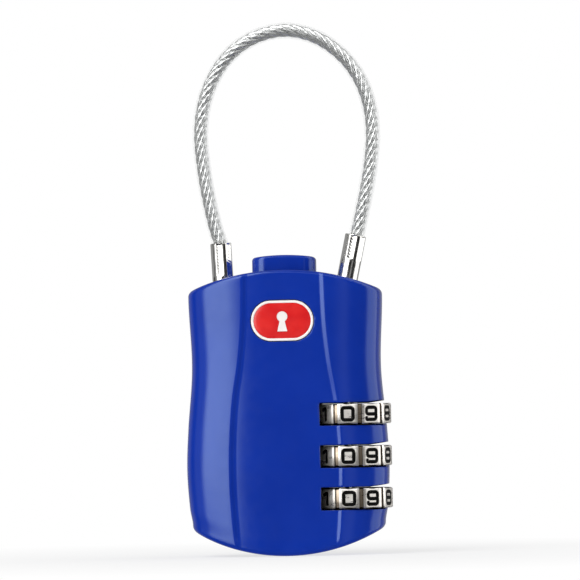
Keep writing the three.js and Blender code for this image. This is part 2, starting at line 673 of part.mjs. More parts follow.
addEach('dial', DIAL.centres, dial, DIAL_METAL);
addEach('clutch_sleeve', DIAL.centres, clutchSleeve, BRASS);
addEach('sleeve_clip', DIAL.centres, clip, STEEL);
add('dial_spindle', spindle(), STEEL);
add('spindle_cup', spindleCup(), BRASS);
const spindleSpring = coilSpring(1.7, 0.18, 4, [SPINDLE.top + CUP.cap + 0.02, BLOCK.bottom - 0.02]);
add('spindle_spring', spindleSpring.translate(DIAL.x, 0, 0), STEEL);

add('key_shell', keyShell(), BRASS);
add('key_plug', keyPlug(), BRASS);
addEach('key_wafer', waferHeights, wafer, BRASS);
add('key_cam', keyCam(), STEEL);
add('cam_screw', camScrew(), STEEL);

add('fixed_ferrule', fixedFerrule(), NICKEL, leaningGroup(FIXED_END));
const { x: pinX, z: pinZ, radius: pinRadius, halfLength: pinHalfLength } = FERRULE_PIN;
add('ferrule_pin', crossPost(pinRadius, pinX, pinZ, across(pinHalfLength)), STEEL);
add('free_ferrule', freeFerrule(), NICKEL, leaningGroup(FREE_END));
const { wire_rope, cable_sheath } = cable();
add('wire_rope', wire_rope, ROPE_STEEL);
add('cable_sheath', cable_sheath, CLEAR_SHEATH);

export default padlock;
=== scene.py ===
"""How a cable padlock looks: its paint, nickel, wire rope and numerals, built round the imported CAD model.

Lengths in this file are millimetres in the CAD model's frame: +Z up, -Y to the front, +X to the dials.
Meshes are scaled to metres as they are made.
"""

import json
import math

import bmesh
import bpy
import numpy as np
from mathutils import Matrix, Quaternion, Vector


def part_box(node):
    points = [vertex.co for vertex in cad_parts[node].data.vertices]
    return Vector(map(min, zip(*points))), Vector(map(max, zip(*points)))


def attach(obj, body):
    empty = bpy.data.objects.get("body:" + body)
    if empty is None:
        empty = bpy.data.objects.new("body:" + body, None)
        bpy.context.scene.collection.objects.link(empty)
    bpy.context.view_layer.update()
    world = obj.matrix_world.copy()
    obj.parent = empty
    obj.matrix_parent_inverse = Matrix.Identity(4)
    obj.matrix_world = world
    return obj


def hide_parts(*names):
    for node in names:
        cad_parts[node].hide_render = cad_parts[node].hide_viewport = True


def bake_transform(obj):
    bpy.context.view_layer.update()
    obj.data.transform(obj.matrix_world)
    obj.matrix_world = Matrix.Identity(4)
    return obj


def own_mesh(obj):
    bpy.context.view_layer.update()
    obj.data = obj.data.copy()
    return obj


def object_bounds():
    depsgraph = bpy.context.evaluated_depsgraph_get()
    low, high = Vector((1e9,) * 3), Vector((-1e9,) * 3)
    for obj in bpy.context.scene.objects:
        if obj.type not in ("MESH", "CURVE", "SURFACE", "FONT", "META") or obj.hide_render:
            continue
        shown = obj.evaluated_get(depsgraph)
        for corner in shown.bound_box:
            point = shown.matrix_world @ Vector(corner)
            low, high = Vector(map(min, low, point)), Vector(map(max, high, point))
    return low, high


MM = 0.001

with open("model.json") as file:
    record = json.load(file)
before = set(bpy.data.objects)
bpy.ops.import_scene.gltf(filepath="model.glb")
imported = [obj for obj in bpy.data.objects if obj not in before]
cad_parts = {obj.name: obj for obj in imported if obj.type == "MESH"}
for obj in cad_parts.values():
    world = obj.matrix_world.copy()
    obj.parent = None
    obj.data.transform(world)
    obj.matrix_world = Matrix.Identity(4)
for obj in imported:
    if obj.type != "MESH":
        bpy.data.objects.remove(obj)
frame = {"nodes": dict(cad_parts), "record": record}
cad_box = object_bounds()
nodes = frame["nodes"]


def node_box(name):
    """The lowest and highest corner of a CAD node, in millimetres."""
    low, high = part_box(name)
    return np.array(low) / MM, np.array(high) / MM


def node_middle(name):
    low, high = node_box(name)
    return (low + high) / 2


# ---- driving dimensions, as in the CAD model ----

BODY_HEIGHT = 46.7
HALF_DEPTH = 7.0
REAR_FLAT = 6.75
ROUNDNESS = 3
TOP_RADIUS, BOTTOM_RADIUS = 39, 30.6
TOP_CORNER, BOTTOM_CORNER = 43.3, 4.2
EDGE = 0.7
WAIST_Z, WAIST_X = (4.2, 7, 13.5, 20.5, 31, 43.3), (15.75, 16.2, 16.55, 16.25, 15.45, 15.85)
PANEL_Z = (0, 7.2, 13.3, 19.4, 25.5, 31.4, 37.5, 46.7)
PANEL_X = (7.85, 8.5, 8.85, 8.75, 8.2, 7.15, 6.5, 6.3)
RECESS = 0.25
RECESS_STEP = 0.5
SEAM = 0.01

DIAL_X = 10.45
FLAT, FLAT_HALF_ANGLE = 6.45, 14.2
GROOVE, GROOVE_HALF_ANGLE = 6.2, 2.2
BORE, NOTCH, TOOTH_HALF, GAP_HALF, COUNTERBORE = 3.65, 4.15, 0.13, 0.17, 0.95
DIGITS = 10
FIRST_DIGIT = -92.5
SLOT_HEIGHT, SLOT_LEFT, SLOT_RADIUS = 3.75, 5.6, 6.8
SLOT_RISE_FROM, SLOT_RIGHT, SLOT_RISE = 13.2, 17, 0.4
# The rear cover is this much closer to the dials, above and below, so that no light shows past them.
SNUG = 0.185
SLOT_CORNER, SLOT_FILLET, SLOT_SKIN = 0.45, 0.16, 0.5
SLOT_STATION = 12.0

FERRULE_RADIUS, FERRULE_BORE = 1.72, 1.56
SOCKET, SOCKET_DEPTH, SOCKET_ABOVE = 1.95, 19, 3
FIXED_MOUTH, FIXED_LEAN = (-10.39, 51.4), -2.6
FREE_MOUTH, FREE_LEAN = (11.85, 52.3), 12

SHEATH_BORE, SHEATH_RADIUS = 1.12, 1.3
ROUTE = (
    (-10.38, 50.1), (-10.5, 51.4), (-11.25, 53.95), (-12.35, 59.2), (-13.1, 64.5), (-13.4, 69.0),
    (-12.95, 73.4), (-11.5, 77.8), (-8.6, 82.1), (-4.5, 85.0), (0.7, 86.2), (5.6, 85.1),
    (9.6, 82.4), (12.5, 78.8), (14.3, 74.3), (14.88, 69.2), (14.45, 64.0), (13.5, 58.8),
    (12.4, 53.9), (12.02, 52.3), (11.78, 51.1),
)


# ---- camera ----

AIM = Vector((0.87, 0, 43.5))
DISTANCE = 900
HALF_VIEW = 47.65
CAMERA_RIGHT, CAMERA_UP, CAMERA_ROLL = math.radians(2.7), math.radians(-1.2), math.radians(-1.1)


def make_camera():
    data = bpy.data.cameras.new("camera")
    camera = bpy.data.objects.new("camera", data)
    bpy.context.scene.collection.objects.link(camera)
    bpy.context.scene.camera = camera
    flat = math.cos(CAMERA_UP)
    back = Vector((math.sin(CAMERA_RIGHT) * flat, -math.cos(CAMERA_RIGHT) * flat, math.sin(CAMERA_UP)))
    camera.location = (AIM + back * DISTANCE) * MM
    camera.rotation_mode = "QUATERNION"
    camera.rotation_quaternion = (-back).to_track_quat("-Z", "Y") @ Quaternion((0, 0, 1), CAMERA_ROLL)
    data.sensor_width = 36
    data.lens = data.sensor_width / 2 * DISTANCE / HALF_VIEW
    data.clip_start, data.clip_end = 0.01, 10


make_camera()


# ---- meshes ----

def shaded(mesh, crease=35):
    """Smooth shading that stays sharp where faces meet at more than the crease angle, in degrees."""
    mesh.shade_smooth()
    mesh.set_sharp_from_angle(angle=math.radians(crease))


def make_object(name, mesh, material=None):
    piece = bpy.data.objects.new(name, mesh)
    bpy.context.scene.collection.objects.link(piece)
    if material:
        mesh.materials.append(material)
    return piece


def make_piece(name, points, faces, material=None, crease=35):
    """An object from points in millimetres, with its faces pointing out."""
    mesh = bpy.data.meshes.new(name)
    mesh.from_pydata((np.asarray(points, float) * MM).tolist(), [], [list(map(int, f)) for f in faces])
    bm = bmesh.new()
    bm.from_mesh(mesh)
    bmesh.ops.recalc_face_normals(bm, faces=bm.faces)
    if bm.calc_volume(signed=True) < 0:
        bmesh.ops.reverse_faces(bm, faces=bm.faces)
    bm.to_mesh(mesh)
    bm.free()
    shaded(mesh, crease)
    return make_object(name, mesh, material)


def loft(loops, caps=True):
    """Points and faces of a skin through loops of equal length. A cap joins a loop's two halves."""
    loops = np.asarray(loops, float)
    rows, count = loops.shape[:2]
    faces = []
    for row in range(rows - 1):
        low, high = row * count, (row + 1) * count
        for i in range(count):
            j = (i + 1) % count
            faces.append((low + i, low + j, high + j, high + i))
    if caps:
        for start, order in ((0, -1), ((rows - 1) * count, 1)):
            for i in range(count // 2 - 1):
                quad = (start + i, start + i + 1, start + count - 2 - i, start + count - 1 - i)
                faces.append(quad[::order])
    return loops.reshape(-1, 3), faces


def closed_loft(loops):
    """Points and faces of a skin through loops that comes back to its first loop."""
    loops = np.asarray(loops, float)
    points, faces = loft(np.concatenate([loops, loops[:1]]), caps=False)
    keep = len(points) - loops.shape[1]
    return points[:keep], [[i % keep for i in face] for face in faces]


def raised(rim, height):
    """An outline in X and Y at one height, or with a height for each of its points."""
    return np.column_stack([rim, np.broadcast_to(height, len(rim))])


def boolean(piece, tools, operation="DIFFERENCE"):
    """Cuts the tools out of a piece, or joins them to it, and removes them."""
    for tool in tools:
        step = piece.modifiers.new(operation, "BOOLEAN")
        step.operation = operation
        step.solver = "MANIFOLD"
        step.object = tool
    graph = bpy.context.evaluated_depsgraph_get()
    mesh = bpy.data.meshes.new_from_object(piece.evaluated_get(graph))
    piece.modifiers.clear()
    piece.data = mesh
    for tool in tools:
        bpy.data.objects.remove(tool)
    return piece


def coated(piece, material, crease=35):
    """Gives a cut piece one material, and sharp edges where its faces now meet."""
    piece.data.materials.clear()
    piece.data.materials.append(material)
    shaded(piece.data, crease)


def box_tool(low, high):
    corners = [(x, y, z) for x in (low[0], high[0]) for y in (low[1], high[1]) for z in (low[2], high[2])]
    faces = [(0, 1, 3, 2), (4, 6, 7, 5), (0, 4, 5, 1), (2, 3, 7, 6), (0, 2, 6, 4), (1, 5, 7, 3)]
    return make_piece("tool", corners, faces)


def prism(rim, low, high, crosswise=False):
    """A tool from an outline in X and Y raised between two heights, or one in X and Z run across."""
    count = len(rim)
    points, faces = loft([raised(rim, low), raised(rim, high)], caps=False)
    faces += [tuple(range(count)), tuple(range(count, 2 * count))]
    return make_piece("tool", points[:, (0, 2, 1)] if crosswise else points, faces)


def circle(radius, count=64):
    """Points round a circle, and the directions out of it. The first and last lie either side of -X."""
    angle = math.pi + (np.arange(count) + 0.5) * 2 * math.pi / count
    out = np.stack([np.cos(angle), np.sin(angle)], 1)
    return radius * out, out


def rounded_box(x0, x1, z0, z1, radius, along=40, corner=8):
    """Points round a box with round corners, from the middle of its left end, and directions out."""
    centres = ((x0 + radius, z0 + radius, 180), (x1 - radius, z0 + radius, 270),
               (x1 - radius, z1 - radius, 0), (x0 + radius, z1 - radius, 90))
    points, out = [], []
    for k, (cx, cz, start) in enumerate(centres):
        for i in range(corner + 1):
            a = math.radians(start + 90 * i / corner)
            out.append((math.cos(a), math.sin(a)))
            points.append((cx + radius * out[-1][0], cz + radius * out[-1][1]))
        if k % 2 == 0:
            side, sign = (z0, -1) if k == 0 else (z1, 1)
            ends = (x0 + radius, x1 - radius) if k == 0 else (x1 - radius, x0 + radius)
            for x in np.linspace(*ends, along + 2)[1:-1]:
                points.append((x, side))
                out.append((0, sign))
    return np.array(points), np.array(out)


def spun(profile, count=96, lean=0, at=(0, 0)):
    """A turned shape from [radius, height] points that start and end on or near the axis."""
    ring, _ = circle(1, count)
    points, faces = loft([raised(ring * max(r, 1e-3), z) for r, z in profile])
    return placed(points, lean, at), faces


def placed(points, lean, at):
    """Points made about +Z, leaned towards +X and moved to a place given by its x and z."""
    turn = np.array(Matrix.Rotation(math.radians(lean), 3, "Y"))
    return points @ turn.T + np.array((at[0], 0, at[1]))


def post_tool(radius, x, z0, z1, count=64):
    return make_piece("tool", *spun([(radius, z0), (radius, z1)], count, at=(x, 0)))


FILLET_ANGLES = np.radians([28, 48, 68, 90])
FILLET_LIP = 0.25


def fillet(radius):
    """Steps of a fillet from outside a surface to a cut's wall: how far each spreads and how deep it is."""
    steps = [(radius * (1 - math.sin(a)), radius * (1 - math.cos(a))) for a in FILLET_ANGLES]
    run = FILLET_LIP / math.tan(FILLET_ANGLES[0])
    return [(steps[0][0] + run, steps[0][1] - FILLET_LIP), *steps]


# ---- materials ----

def new_node(tree, kind, **settings):
    node = tree.nodes.new(kind)
    for name, value in settings.items():
        setattr(node, name, value)
    return node


def map_range(tree, value, start, stop, low, high, **settings):
    """The value from start to stop, made into one from low to high."""
    node = new_node(tree, "ShaderNodeMapRange", **settings)
    for socket, number in (("From Min", start), ("From Max", stop), ("To Min", low), ("To Max", high)):
        node.inputs[socket].default_value = number
    tree.links.new(value, node.inputs["Value"])
    return node.outputs["Result"]


class Look:
    """A material's node graph. Constants are set on the shader's sockets, and the rest is linked in."""

    def __init__(self, name, **constants):
        self.material = bpy.data.materials.new(name)
        self.material.use_nodes = True
        self.tree = self.material.node_tree
        self.shader = self.tree.nodes["Principled BSDF"]
        self.position = self.make("ShaderNodeTexCoord").outputs["Object"]
        for socket, value in constants.items():
            self.shader.inputs[socket.replace("_", " ")].default_value = value

    def make(self, kind, **settings):
        return new_node(self.tree, kind, **settings)

    def link(self, output, socket):
        self.tree.links.new(output, socket)

    def noise(self, per_metre, detail=2, stretch=(1, 1, 1)):
        """Noise with this many features to the metre, denser along an axis that is stretched more."""
        mapping = self.make("ShaderNodeMapping")
        mapping.inputs["Scale"].default_value = stretch
        self.link(self.position, mapping.inputs["Vector"])
        noise = self.make("ShaderNodeTexNoise")
        noise.inputs["Scale"].default_value = per_metre
        noise.inputs["Detail"].default_value = detail
        self.link(mapping.outputs["Vector"], noise.inputs["Vector"])
        return noise.outputs["Fac"]

    def between(self, value, low, high, start=0.35, stop=0.65):
        return map_range(self.tree, value, start, stop, low, high)

    def colour(self, value, dark, light):
        """The base colour, from dark to light as the value rises."""
        ramp = self.make("ShaderNodeValToRGB")
        for stop, position, shade in zip(ramp.color_ramp.elements, (0.35, 0.65), (dark, light)):
            stop.position, stop.color = position, (*shade, 1)
        self.link(value, ramp.inputs["Fac"])
        self.link(ramp.outputs["Color"], self.shader.inputs["Base Color"])

    def roughness(self, value, low, high):
        self.link(self.between(value, low, high), self.shader.inputs["Roughness"])

    def bump(self, value, height_mm):
        bump = self.make("ShaderNodeBump")
        bump.inputs["Distance"].default_value = height_mm * MM
        self.link(value, bump.inputs["Height"])
        self.link(bump.outputs["Normal"], self.shader.inputs["Normal"])


def blue_paint():
    """Glossy cobalt enamel with a faint orange peel."""
    look = Look("blue_paint", IOR=1.62, Specular_Tint=(0.6, 0.8, 1, 1))
    look.colour(look.noise(120, 3), (0.0035, 0.026, 0.300), (0.0045, 0.030, 0.330))
    look.roughness(look.noise(700), 0.14, 0.19)
    look.bump(look.noise(1500, 2), 0.002)
    return look.material


def enamel(name, dark, light):
    """Poured enamel, glossy and slightly uneven."""
    look = Look(name, IOR=1.52)
    look.colour(look.noise(350, 3), dark, light)
    look.roughness(look.noise(900), 0.16, 0.24)
    look.bump(look.noise(900, 2), 0.008)
    return look.material


def brushed(name, dark, light, rough, per_metre, stretch, height_mm):
    """Metal whose fine lines run across the axis that is stretched most."""
    look = Look(name, Metallic=1)
    lines = look.noise(per_metre, 4, stretch)
    look.colour(look.noise(500, 3), dark, light)
    look.roughness(lines, *rough)
    look.bump(lines, height_mm)
    return look.material


def satin(name, metallic, dark, light, rough, per_metre, height_mm):
    """Plated metal with a bright satin skin and small dents."""
    look = Look(name, Metallic=metallic)
    look.colour(look.noise(500, 3), dark, light)
    look.roughness(look.noise(per_metre, 3), *rough)
    look.bump(look.noise(per_metre, 2), height_mm)
    return look.material


# Dial base colours by distance from the axis: nickel on the flats, a painted tan reflection on the groove
# floors, and painted shade on the groove walls and rim chamfers.
DIAL_BRIGHT, DIAL_TAN_REFLECTION, DIAL_SHADE = (1.0, 0.96, 0.90), (0.42, 0.34, 0.26), (0.03, 0.023, 0.018)


def dial_nickel():
    """Bright satin nickel, with painted shade on the groove walls and rim chamfers and a painted tan
    reflection on the groove floors, where the dial is nearer its axis than the flats.
    """
    look = Look("dial_nickel", Metallic=0.92)
    from_axis = look.make("ShaderNodeVectorMath", operation="SUBTRACT")
    from_axis.inputs[1].default_value = (DIAL_X * MM, 0, 0)
    look.link(look.position, from_axis.inputs[0])
    level = look.make("ShaderNodeVectorMath", operation="MULTIPLY")
    level.inputs[1].default_value = (1, 1, 0)
    look.link(from_axis.outputs["Vector"], level.inputs[0])
    reach = look.make("ShaderNodeVectorMath", operation="LENGTH")
    look.link(level.outputs["Vector"], reach.inputs[0])
    ramp = look.make("ShaderNodeValToRGB")
    stops = ramp.color_ramp.elements
    stops[0].color, stops[1].color = (*DIAL_SHADE, 1), (*DIAL_BRIGHT, 1)
    stops[1].position = 1
    # Painted shade and painted reflection bands, set by how far each point lies from the axis.
    for radius, shade in ((GROOVE - 0.02, DIAL_SHADE), (GROOVE - 0.01, DIAL_TAN_REFLECTION), (GROOVE + 0.02, DIAL_TAN_REFLECTION),
                          (GROOVE + 0.05, DIAL_SHADE), (FLAT - 0.06, DIAL_SHADE), (FLAT - 0.02, DIAL_BRIGHT)):
        stops.new(radius - GROOVE + 0.5).color = (*shade, 1)
    share = look.between(reach.outputs["Value"], 0, 1, (GROOVE - 0.5) * MM, (GROOVE + 0.5) * MM)
    look.link(share, ramp.inputs["Fac"])
    look.link(ramp.outputs["Color"], look.shader.inputs["Base Color"])
    look.roughness(look.noise(600, 3, (1, 1, 4)), 0.26, 0.42)
    look.bump(look.noise(900, 3, (1, 1, 4)), 0.006)
    return look.material


def clear_vinyl():
    """A clear skin that shows most at its edges."""
    look = Look("clear_vinyl", IOR=1.45)
    look.colour(look.noise(250, 2), (0.82, 0.84, 0.83), (0.9, 0.92, 0.91))
    look.roughness(look.noise(600), 0.07, 0.14)
    facing = look.make("ShaderNodeLayerWeight")
    facing.inputs["Blend"].default_value = 0.15
    look.link(look.between(facing.outputs["Facing"], 0.02, 0.34, 0, 1), look.shader.inputs["Alpha"])
    return look.material


def numeral_black():
    look = Look("numeral_black", Specular_IOR_Level=0.08)
    look.colour(look.noise(1500, 2), (0.0015, 0.0013, 0.0012), (0.003, 0.0025, 0.002))
    look.roughness(look.noise(1800), 0.35, 0.5)
    return look.material


LOOKS = {
    "blue_paint": blue_paint(),
    "dial_nickel": dial_nickel(),
    "ferrule_nickel": satin(
        "ferrule_nickel", 1, (0.84, 0.83, 0.80), (0.92, 0.91, 0.88), (0.1, 0.22), 1100, 0.008),
    "rope_steel": satin(
        "rope_steel", 0.9, (0.72, 0.73, 0.725), (0.82, 0.83, 0.825), (0.32, 0.44), 1500, 0.003),
    "clear_sheath": clear_vinyl(),
    "badge_red": enamel("badge_red", (0.62, 0.012, 0.014), (0.72, 0.022, 0.02)),
    "badge_white": enamel("badge_white", (0.86, 0.82, 0.80), (0.93, 0.90, 0.88)),
    "zinc": brushed("zinc", (0.36, 0.37, 0.39), (0.46, 0.47, 0.49), (0.45, 0.62), 1200, (1, 1, 1), 0.012),
    "steel": brushed("steel", (0.50, 0.52, 0.54), (0.6, 0.62, 0.63), (0.24, 0.36), 400, (1, 1, 12), 0.003),
    "brass": brushed("brass", (0.42, 0.29, 0.11), (0.50, 0.36, 0.15), (0.22, 0.34), 400, (1, 1, 14), 0.003),
}
NUMERAL_BLACK = numeral_black()
# Painted shade: the clutch sleeves show only through the thin gaps beside the dials, so their brass is made
# near black.
SHADED_BRASS = brushed(
    "shaded_brass", (0.03, 0.022, 0.01), (0.05, 0.036, 0.015), (0.3, 0.5), 400, (1, 1, 14), 0.003)
# Painted shade: near black for the faces inside the covers' slots, wells and rooms, where shade falls.
SHADE_LINING = satin("painted_shade_lining", 0, (0.012, 0.012, 0.014), (0.02, 0.02, 0.022), (0.6, 0.8), 900, 0.01)


def paint_nodes():
    """Gives every CAD node its slot's look, in case it shows."""
    for part in frame["record"]["subparts"]:
        mesh = nodes[part["node"]].data
        mesh.materials.clear()
        # Painted shade: the clutch sleeves get the near-black brass.
        in_shade = part["node"].startswith("clutch_sleeve")
        mesh.materials.append(SHADED_BRASS if in_shade else LOOKS[part["material_slot"]])


def finish_piece(piece, body, slot, *replaced):
    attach(piece, body)
    if replaced:
        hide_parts(*replaced)
    return piece


# ---- cable ----

CABLE_STEPS = 300
BACK = np.array((0.0, 1.0, 0.0))
STRANDS, STRAND_CENTRE, ROPE_LAY = 6, 0.7, 10.7
WIRES, WIRE_CENTRE, WIRE_RADIUS, WIRE_TWIST, GROOVE_FLOOR = 6, 0.233, 0.117, -1.5, 0.322


def cable_path(steps):
    """Points at even distances along a centripetal spline through the route, and their distances."""
    knots = np.array(ROUTE, float)
    knots = np.vstack([2 * knots[0] - knots[1], knots, 2 * knots[-1] - knots[-2]])
    t = np.linspace(0, 1, 40, endpoint=False)[:, None]
    spans = []
    for p0, p1, p2, p3 in zip(knots, knots[1:], knots[2:], knots[3:]):
        d0, d1, d2 = (math.sqrt(math.dist(a, b)) for a, b in ((p0, p1), (p1, p2), (p2, p3)))
        leave = ((p1 - p0) / d0 - (p2 - p0) / (d0 + d1) + (p2 - p1) / d1) * d1
        arrive = ((p2 - p1) / d1 - (p3 - p1) / (d1 + d2) + (p3 - p2) / d2) * d1
        bend = 3 * (p2 - p1) - 2 * leave - arrive
        spans.append(p1 + leave * t + bend * t ** 2 + (2 * (p1 - p2) + leave + arrive) * t ** 3)
    fine = np.vstack([*spans, knots[-2:-1]])
    reached = np.concatenate([[0], np.cumsum(np.linalg.norm(np.diff(fine, axis=0), axis=1))])
    distance = np.linspace(0, reached[-1], steps + 1)
    x, z = (np.interp(distance, reached, fine[:, k]) for k in (0, 1))
    return np.column_stack([x, np.zeros(steps + 1), z]), distance


def unit(vectors):
    return vectors / np.linalg.norm(vectors, axis=1, keepdims=True)


def beside_path(points, across, ahead):
    """Points moved by across along +Y and by ahead along the side of the cable's plane."""
    side = np.cross(unit(np.gradient(points, axis=0)), BACK)
    return points + BACK * across[:, None] + side * ahead[:, None]


def tube_loops(line, towards, radii, turn=0.0):
    """Loops of a tube along a line, from its radii at even angles. The first points towards, then turns."""
    tangents = unit(np.gradient(line, axis=0))
    second = unit(np.cross(tangents, towards))
    first = np.cross(second, tangents)
    angles = 2 * math.pi * np.arange(len(radii)) / len(radii) + np.reshape(turn, (-1, 1))
    across, ahead = (radii * np.cos(angles))[..., None], (radii * np.sin(angles))[..., None]
    return line[:, None] + across * first[:, None] + ahead * second[:, None]


def joined(parts):
    """One list of points and faces from several."""
    points, faces, start = [], [], 0
    for more, skin in parts:
        points.append(more)
        faces += [tuple(i + start for i in face) for face in skin]
        start += len(more)
    return np.concatenate(points), faces


def strand_radii():
    """The outline of one strand: wires side by side round its middle, with soft grooves between them."""
    share = 2 * math.pi / WIRES
    angles = 2 * math.pi * np.arange(5 * WIRES) / (5 * WIRES)
    away = (angles + share / 2) % share - share / 2
    rise = np.sqrt(np.maximum(WIRE_RADIUS ** 2 - (WIRE_CENTRE * np.sin(away)) ** 2, 0))
    return np.maximum(WIRE_CENTRE * np.cos(away) + rise, GROOVE_FLOOR)


def make_rope(path, distance):
    """Six strands laid round a core, each with its wires turning the other way."""
    parts = [loft(tube_loops(path, BACK, np.full(12, STRAND_CENTRE - 0.25)))]
    for strand in range(STRANDS):
        lay = 2 * math.pi * (strand / STRANDS + distance / ROPE_LAY)
        middle = beside_path(path, STRAND_CENTRE * np.cos(lay), STRAND_CENTRE * np.sin(lay))
        parts.append(loft(tube_loops(middle, middle - path, strand_radii(), WIRE_TWIST * distance)))
    return make_piece("wire_strands", *joined(parts), LOOKS["rope_steel"], 50)


def make_sheath(path):
    """A clear tube whose ends are rolled over from its outside to its bore."""
    outside = tube_loops(path, BACK, np.full(36, SHEATH_RADIUS))
    bore = tube_loops(path, BACK, np.full(36, SHEATH_BORE))
    skin = closed_loft(np.concatenate([outside, bore[::-1]]))
    return make_piece("clear_sleeve", *skin, LOOKS["clear_sheath"])


def make_cable():
    path, distance = cable_path(CABLE_STEPS)
    rope, sheath = make_rope(path, distance), make_sheath(path[::2])
    for piece, node, slot in ((rope, "wire_rope", "rope_steel"), (sheath, "cable_sheath", "clear_sheath")):
        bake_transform(piece)
        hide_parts(node)


# ---- body ----

def spline(knots, values, at):
    """A smooth curve through the knots whose slope at each is that between its neighbours."""
    knots, values = np.array(knots, float), np.array(values, float)
    slopes = np.zeros(len(knots))
    slopes[1:-1] = (values[2:] - values[:-2]) / (knots[2:] - knots[:-2])
    at = np.clip(at, knots[0], knots[-1])
    i = np.clip(np.searchsorted(knots, at, side="right") - 1, 0, len(knots) - 2)
    span = knots[i + 1] - knots[i]
    t = (at - knots[i]) / span
    start = (1 + 2 * t) * (1 - t) ** 2 * values[i] + t * (1 - t) ** 2 * span * slopes[i]
    end = t * t * (3 - 2 * t) * values[i + 1] - t * t * (1 - t) * span * slopes[i + 1]
    return start + end


def smoothstep(low, high, value):
    t = np.clip((value - low) / (high - low), 0, 1)
    return t * t * (3 - 2 * t)


def top_at(x):
    return BODY_HEIGHT - TOP_RADIUS + np.sqrt(TOP_RADIUS ** 2 - x * x)


def bottom_at(x):
    return BOTTOM_RADIUS - np.sqrt(BOTTOM_RADIUS ** 2 - x * x)


def half_width(level):
    return spline(WAIST_Z, WAIST_X, level)


def level_of(x, z):
    """The height on the waist's curve of a point of the wall; the top and bottom are arcs."""
    low, high = bottom_at(x) + EDGE, top_at(x) - EDGE
    return BOTTOM_CORNER + (TOP_CORNER - BOTTOM_CORNER) * np.clip((z - low) / (high - low), 0, 1)


def panel_recess(x, level):
    """How deep the front's middle panel lies at x; it runs out just above the bottom."""
    crease = spline(PANEL_Z, PANEL_X, level)
    inside = np.clip((crease - np.abs(x)) / RECESS_STEP + 0.5, 0, 1)
    return RECESS * inside * smoothstep(BOTTOM_CORNER - 1, BOTTOM_CORNER + 2, level)


def bulge(share):
    """The section's depth where x is this share of the half width."""
    return HALF_DEPTH * np.clip(1 - np.abs(share) ** ROUNDNESS, 0, 1) ** (1 / ROUNDNESS)


def rear_depth(depth):
    """The rear's depth, which levels off at the flat."""
    soft = 0.04
    return REAR_FLAT - soft * np.log1p(np.exp(np.clip((REAR_FLAT - depth) / soft, -60, 60)))


def front_y(x, z):
    level = level_of(x, z)
    return panel_recess(x, level) - bulge(x / half_width(level))


# The quarter section from the side's middle to the centre line, as shares of the half width and half
# depth, and its length on the way where the body is of middling width.
MIDDLING_HALF_WIDTH = 16
QUARTER_TURN = np.linspace(0, 1, 2001) ** 2 * math.pi / 2
QUARTER_X = np.cos(QUARTER_TURN) ** (2 / ROUNDNESS)
QUARTER_Y = np.sin(QUARTER_TURN) ** (2 / ROUNDNESS)
QUARTER_LENGTH = np.concatenate([[0], np.cumsum(np.hypot(
    np.diff(QUARTER_X) * MIDDLING_HALF_WIDTH, np.diff(QUARTER_Y) * HALF_DEPTH))])

SIDE_STATIONS, STEP_STATIONS, PANEL_STATIONS = 34, 8, 16


def quarter_stations(width, crease):
    """x and depth of the section's points from the side to the centre line, crowded at the step."""
    edge = crease + RECESS_STEP / 2
    reached = np.interp(-edge / width, -QUARTER_X, QUARTER_LENGTH) * np.linspace(0, 1, SIDE_STATIONS)
    side = np.interp(reached, QUARTER_LENGTH, QUARTER_X) * width
    step = np.linspace(edge, crease - RECESS_STEP / 2, STEP_STATIONS + 1)[1:]
    panel = np.linspace(crease - RECESS_STEP / 2, 0, PANEL_STATIONS + 1)[1:]
    x = np.concatenate([side, step, panel])
    depth = bulge(x / width)
    depth[:SIDE_STATIONS] = np.interp(reached, QUARTER_LENGTH, QUARTER_Y) * HALF_DEPTH
    return x, depth


def body_loops():
    """The body's outside as loops from the bottom up, each from the left side round by the front."""
    walls, edges = 96, 8
    tucks = [(0, i / edges * math.pi / 2) for i in range(edges, 0, -1)]
    levels = tucks + [(i / walls, 0) for i in range(walls + 1)] + [(1, t) for _, t in reversed(tucks)]
    loops = []
    for rise, tuck in levels:
        level = BOTTOM_CORNER + (TOP_CORNER - BOTTOM_CORNER) * rise
        width = half_width(level)
        x, depth = quarter_stations(width, spline(PANEL_Z, PANEL_X, level))
        inward, reach = EDGE * (1 - math.cos(tuck)), EDGE * (1 - math.sin(tuck))
        front = (panel_recess(x, level) - depth) * (1 - inward / HALF_DEPTH)
        rear = rear_depth(depth) * (1 - inward / HALF_DEPTH)
        rear[0] = front[0] = 0
        x = x * (1 - inward / width)
        z = bottom_at(x) + reach + (top_at(x) - bottom_at(x) - 2 * reach) * rise
        loops.append(np.concatenate([
            np.column_stack([-x, front, z])[:-1],
            np.column_stack([x, front, z])[:0:-1],
            np.column_stack([x, rear, z])[:-1],
            np.column_stack([-x, rear, z])[:0:-1],
        ]))
    return loops


def heightfield_tool(points, out, place, fillet_radius, depth):
    """A cutter whose outline is flared to leave a fillet where it enters a surface.

    place(u, v, deep) gives the points that lie deep under the surface at u, v.
    """
    layers = [*fillet(fillet_radius), (0, depth)]
    loops = [place(*(points + out * spread).T, deep) for spread, deep in layers]
    return make_piece("tool", *loft(loops))


def through_front(u, v, deep):
    return np.column_stack([u, front_y(u, v) + deep, v])


def through_top(u, v, deep):
    return np.column_stack([u, v, top_at(u) - deep])


def through_bottom(u, v, deep):
    return np.column_stack([u, v, bottom_at(u) + deep])


def slot_rise(x):
    """A dial's slot opens upwards towards the side."""
    return SLOT_RISE * np.clip((x - SLOT_RISE_FROM) / (SLOT_RIGHT - SLOT_RISE_FROM), 0, 1)


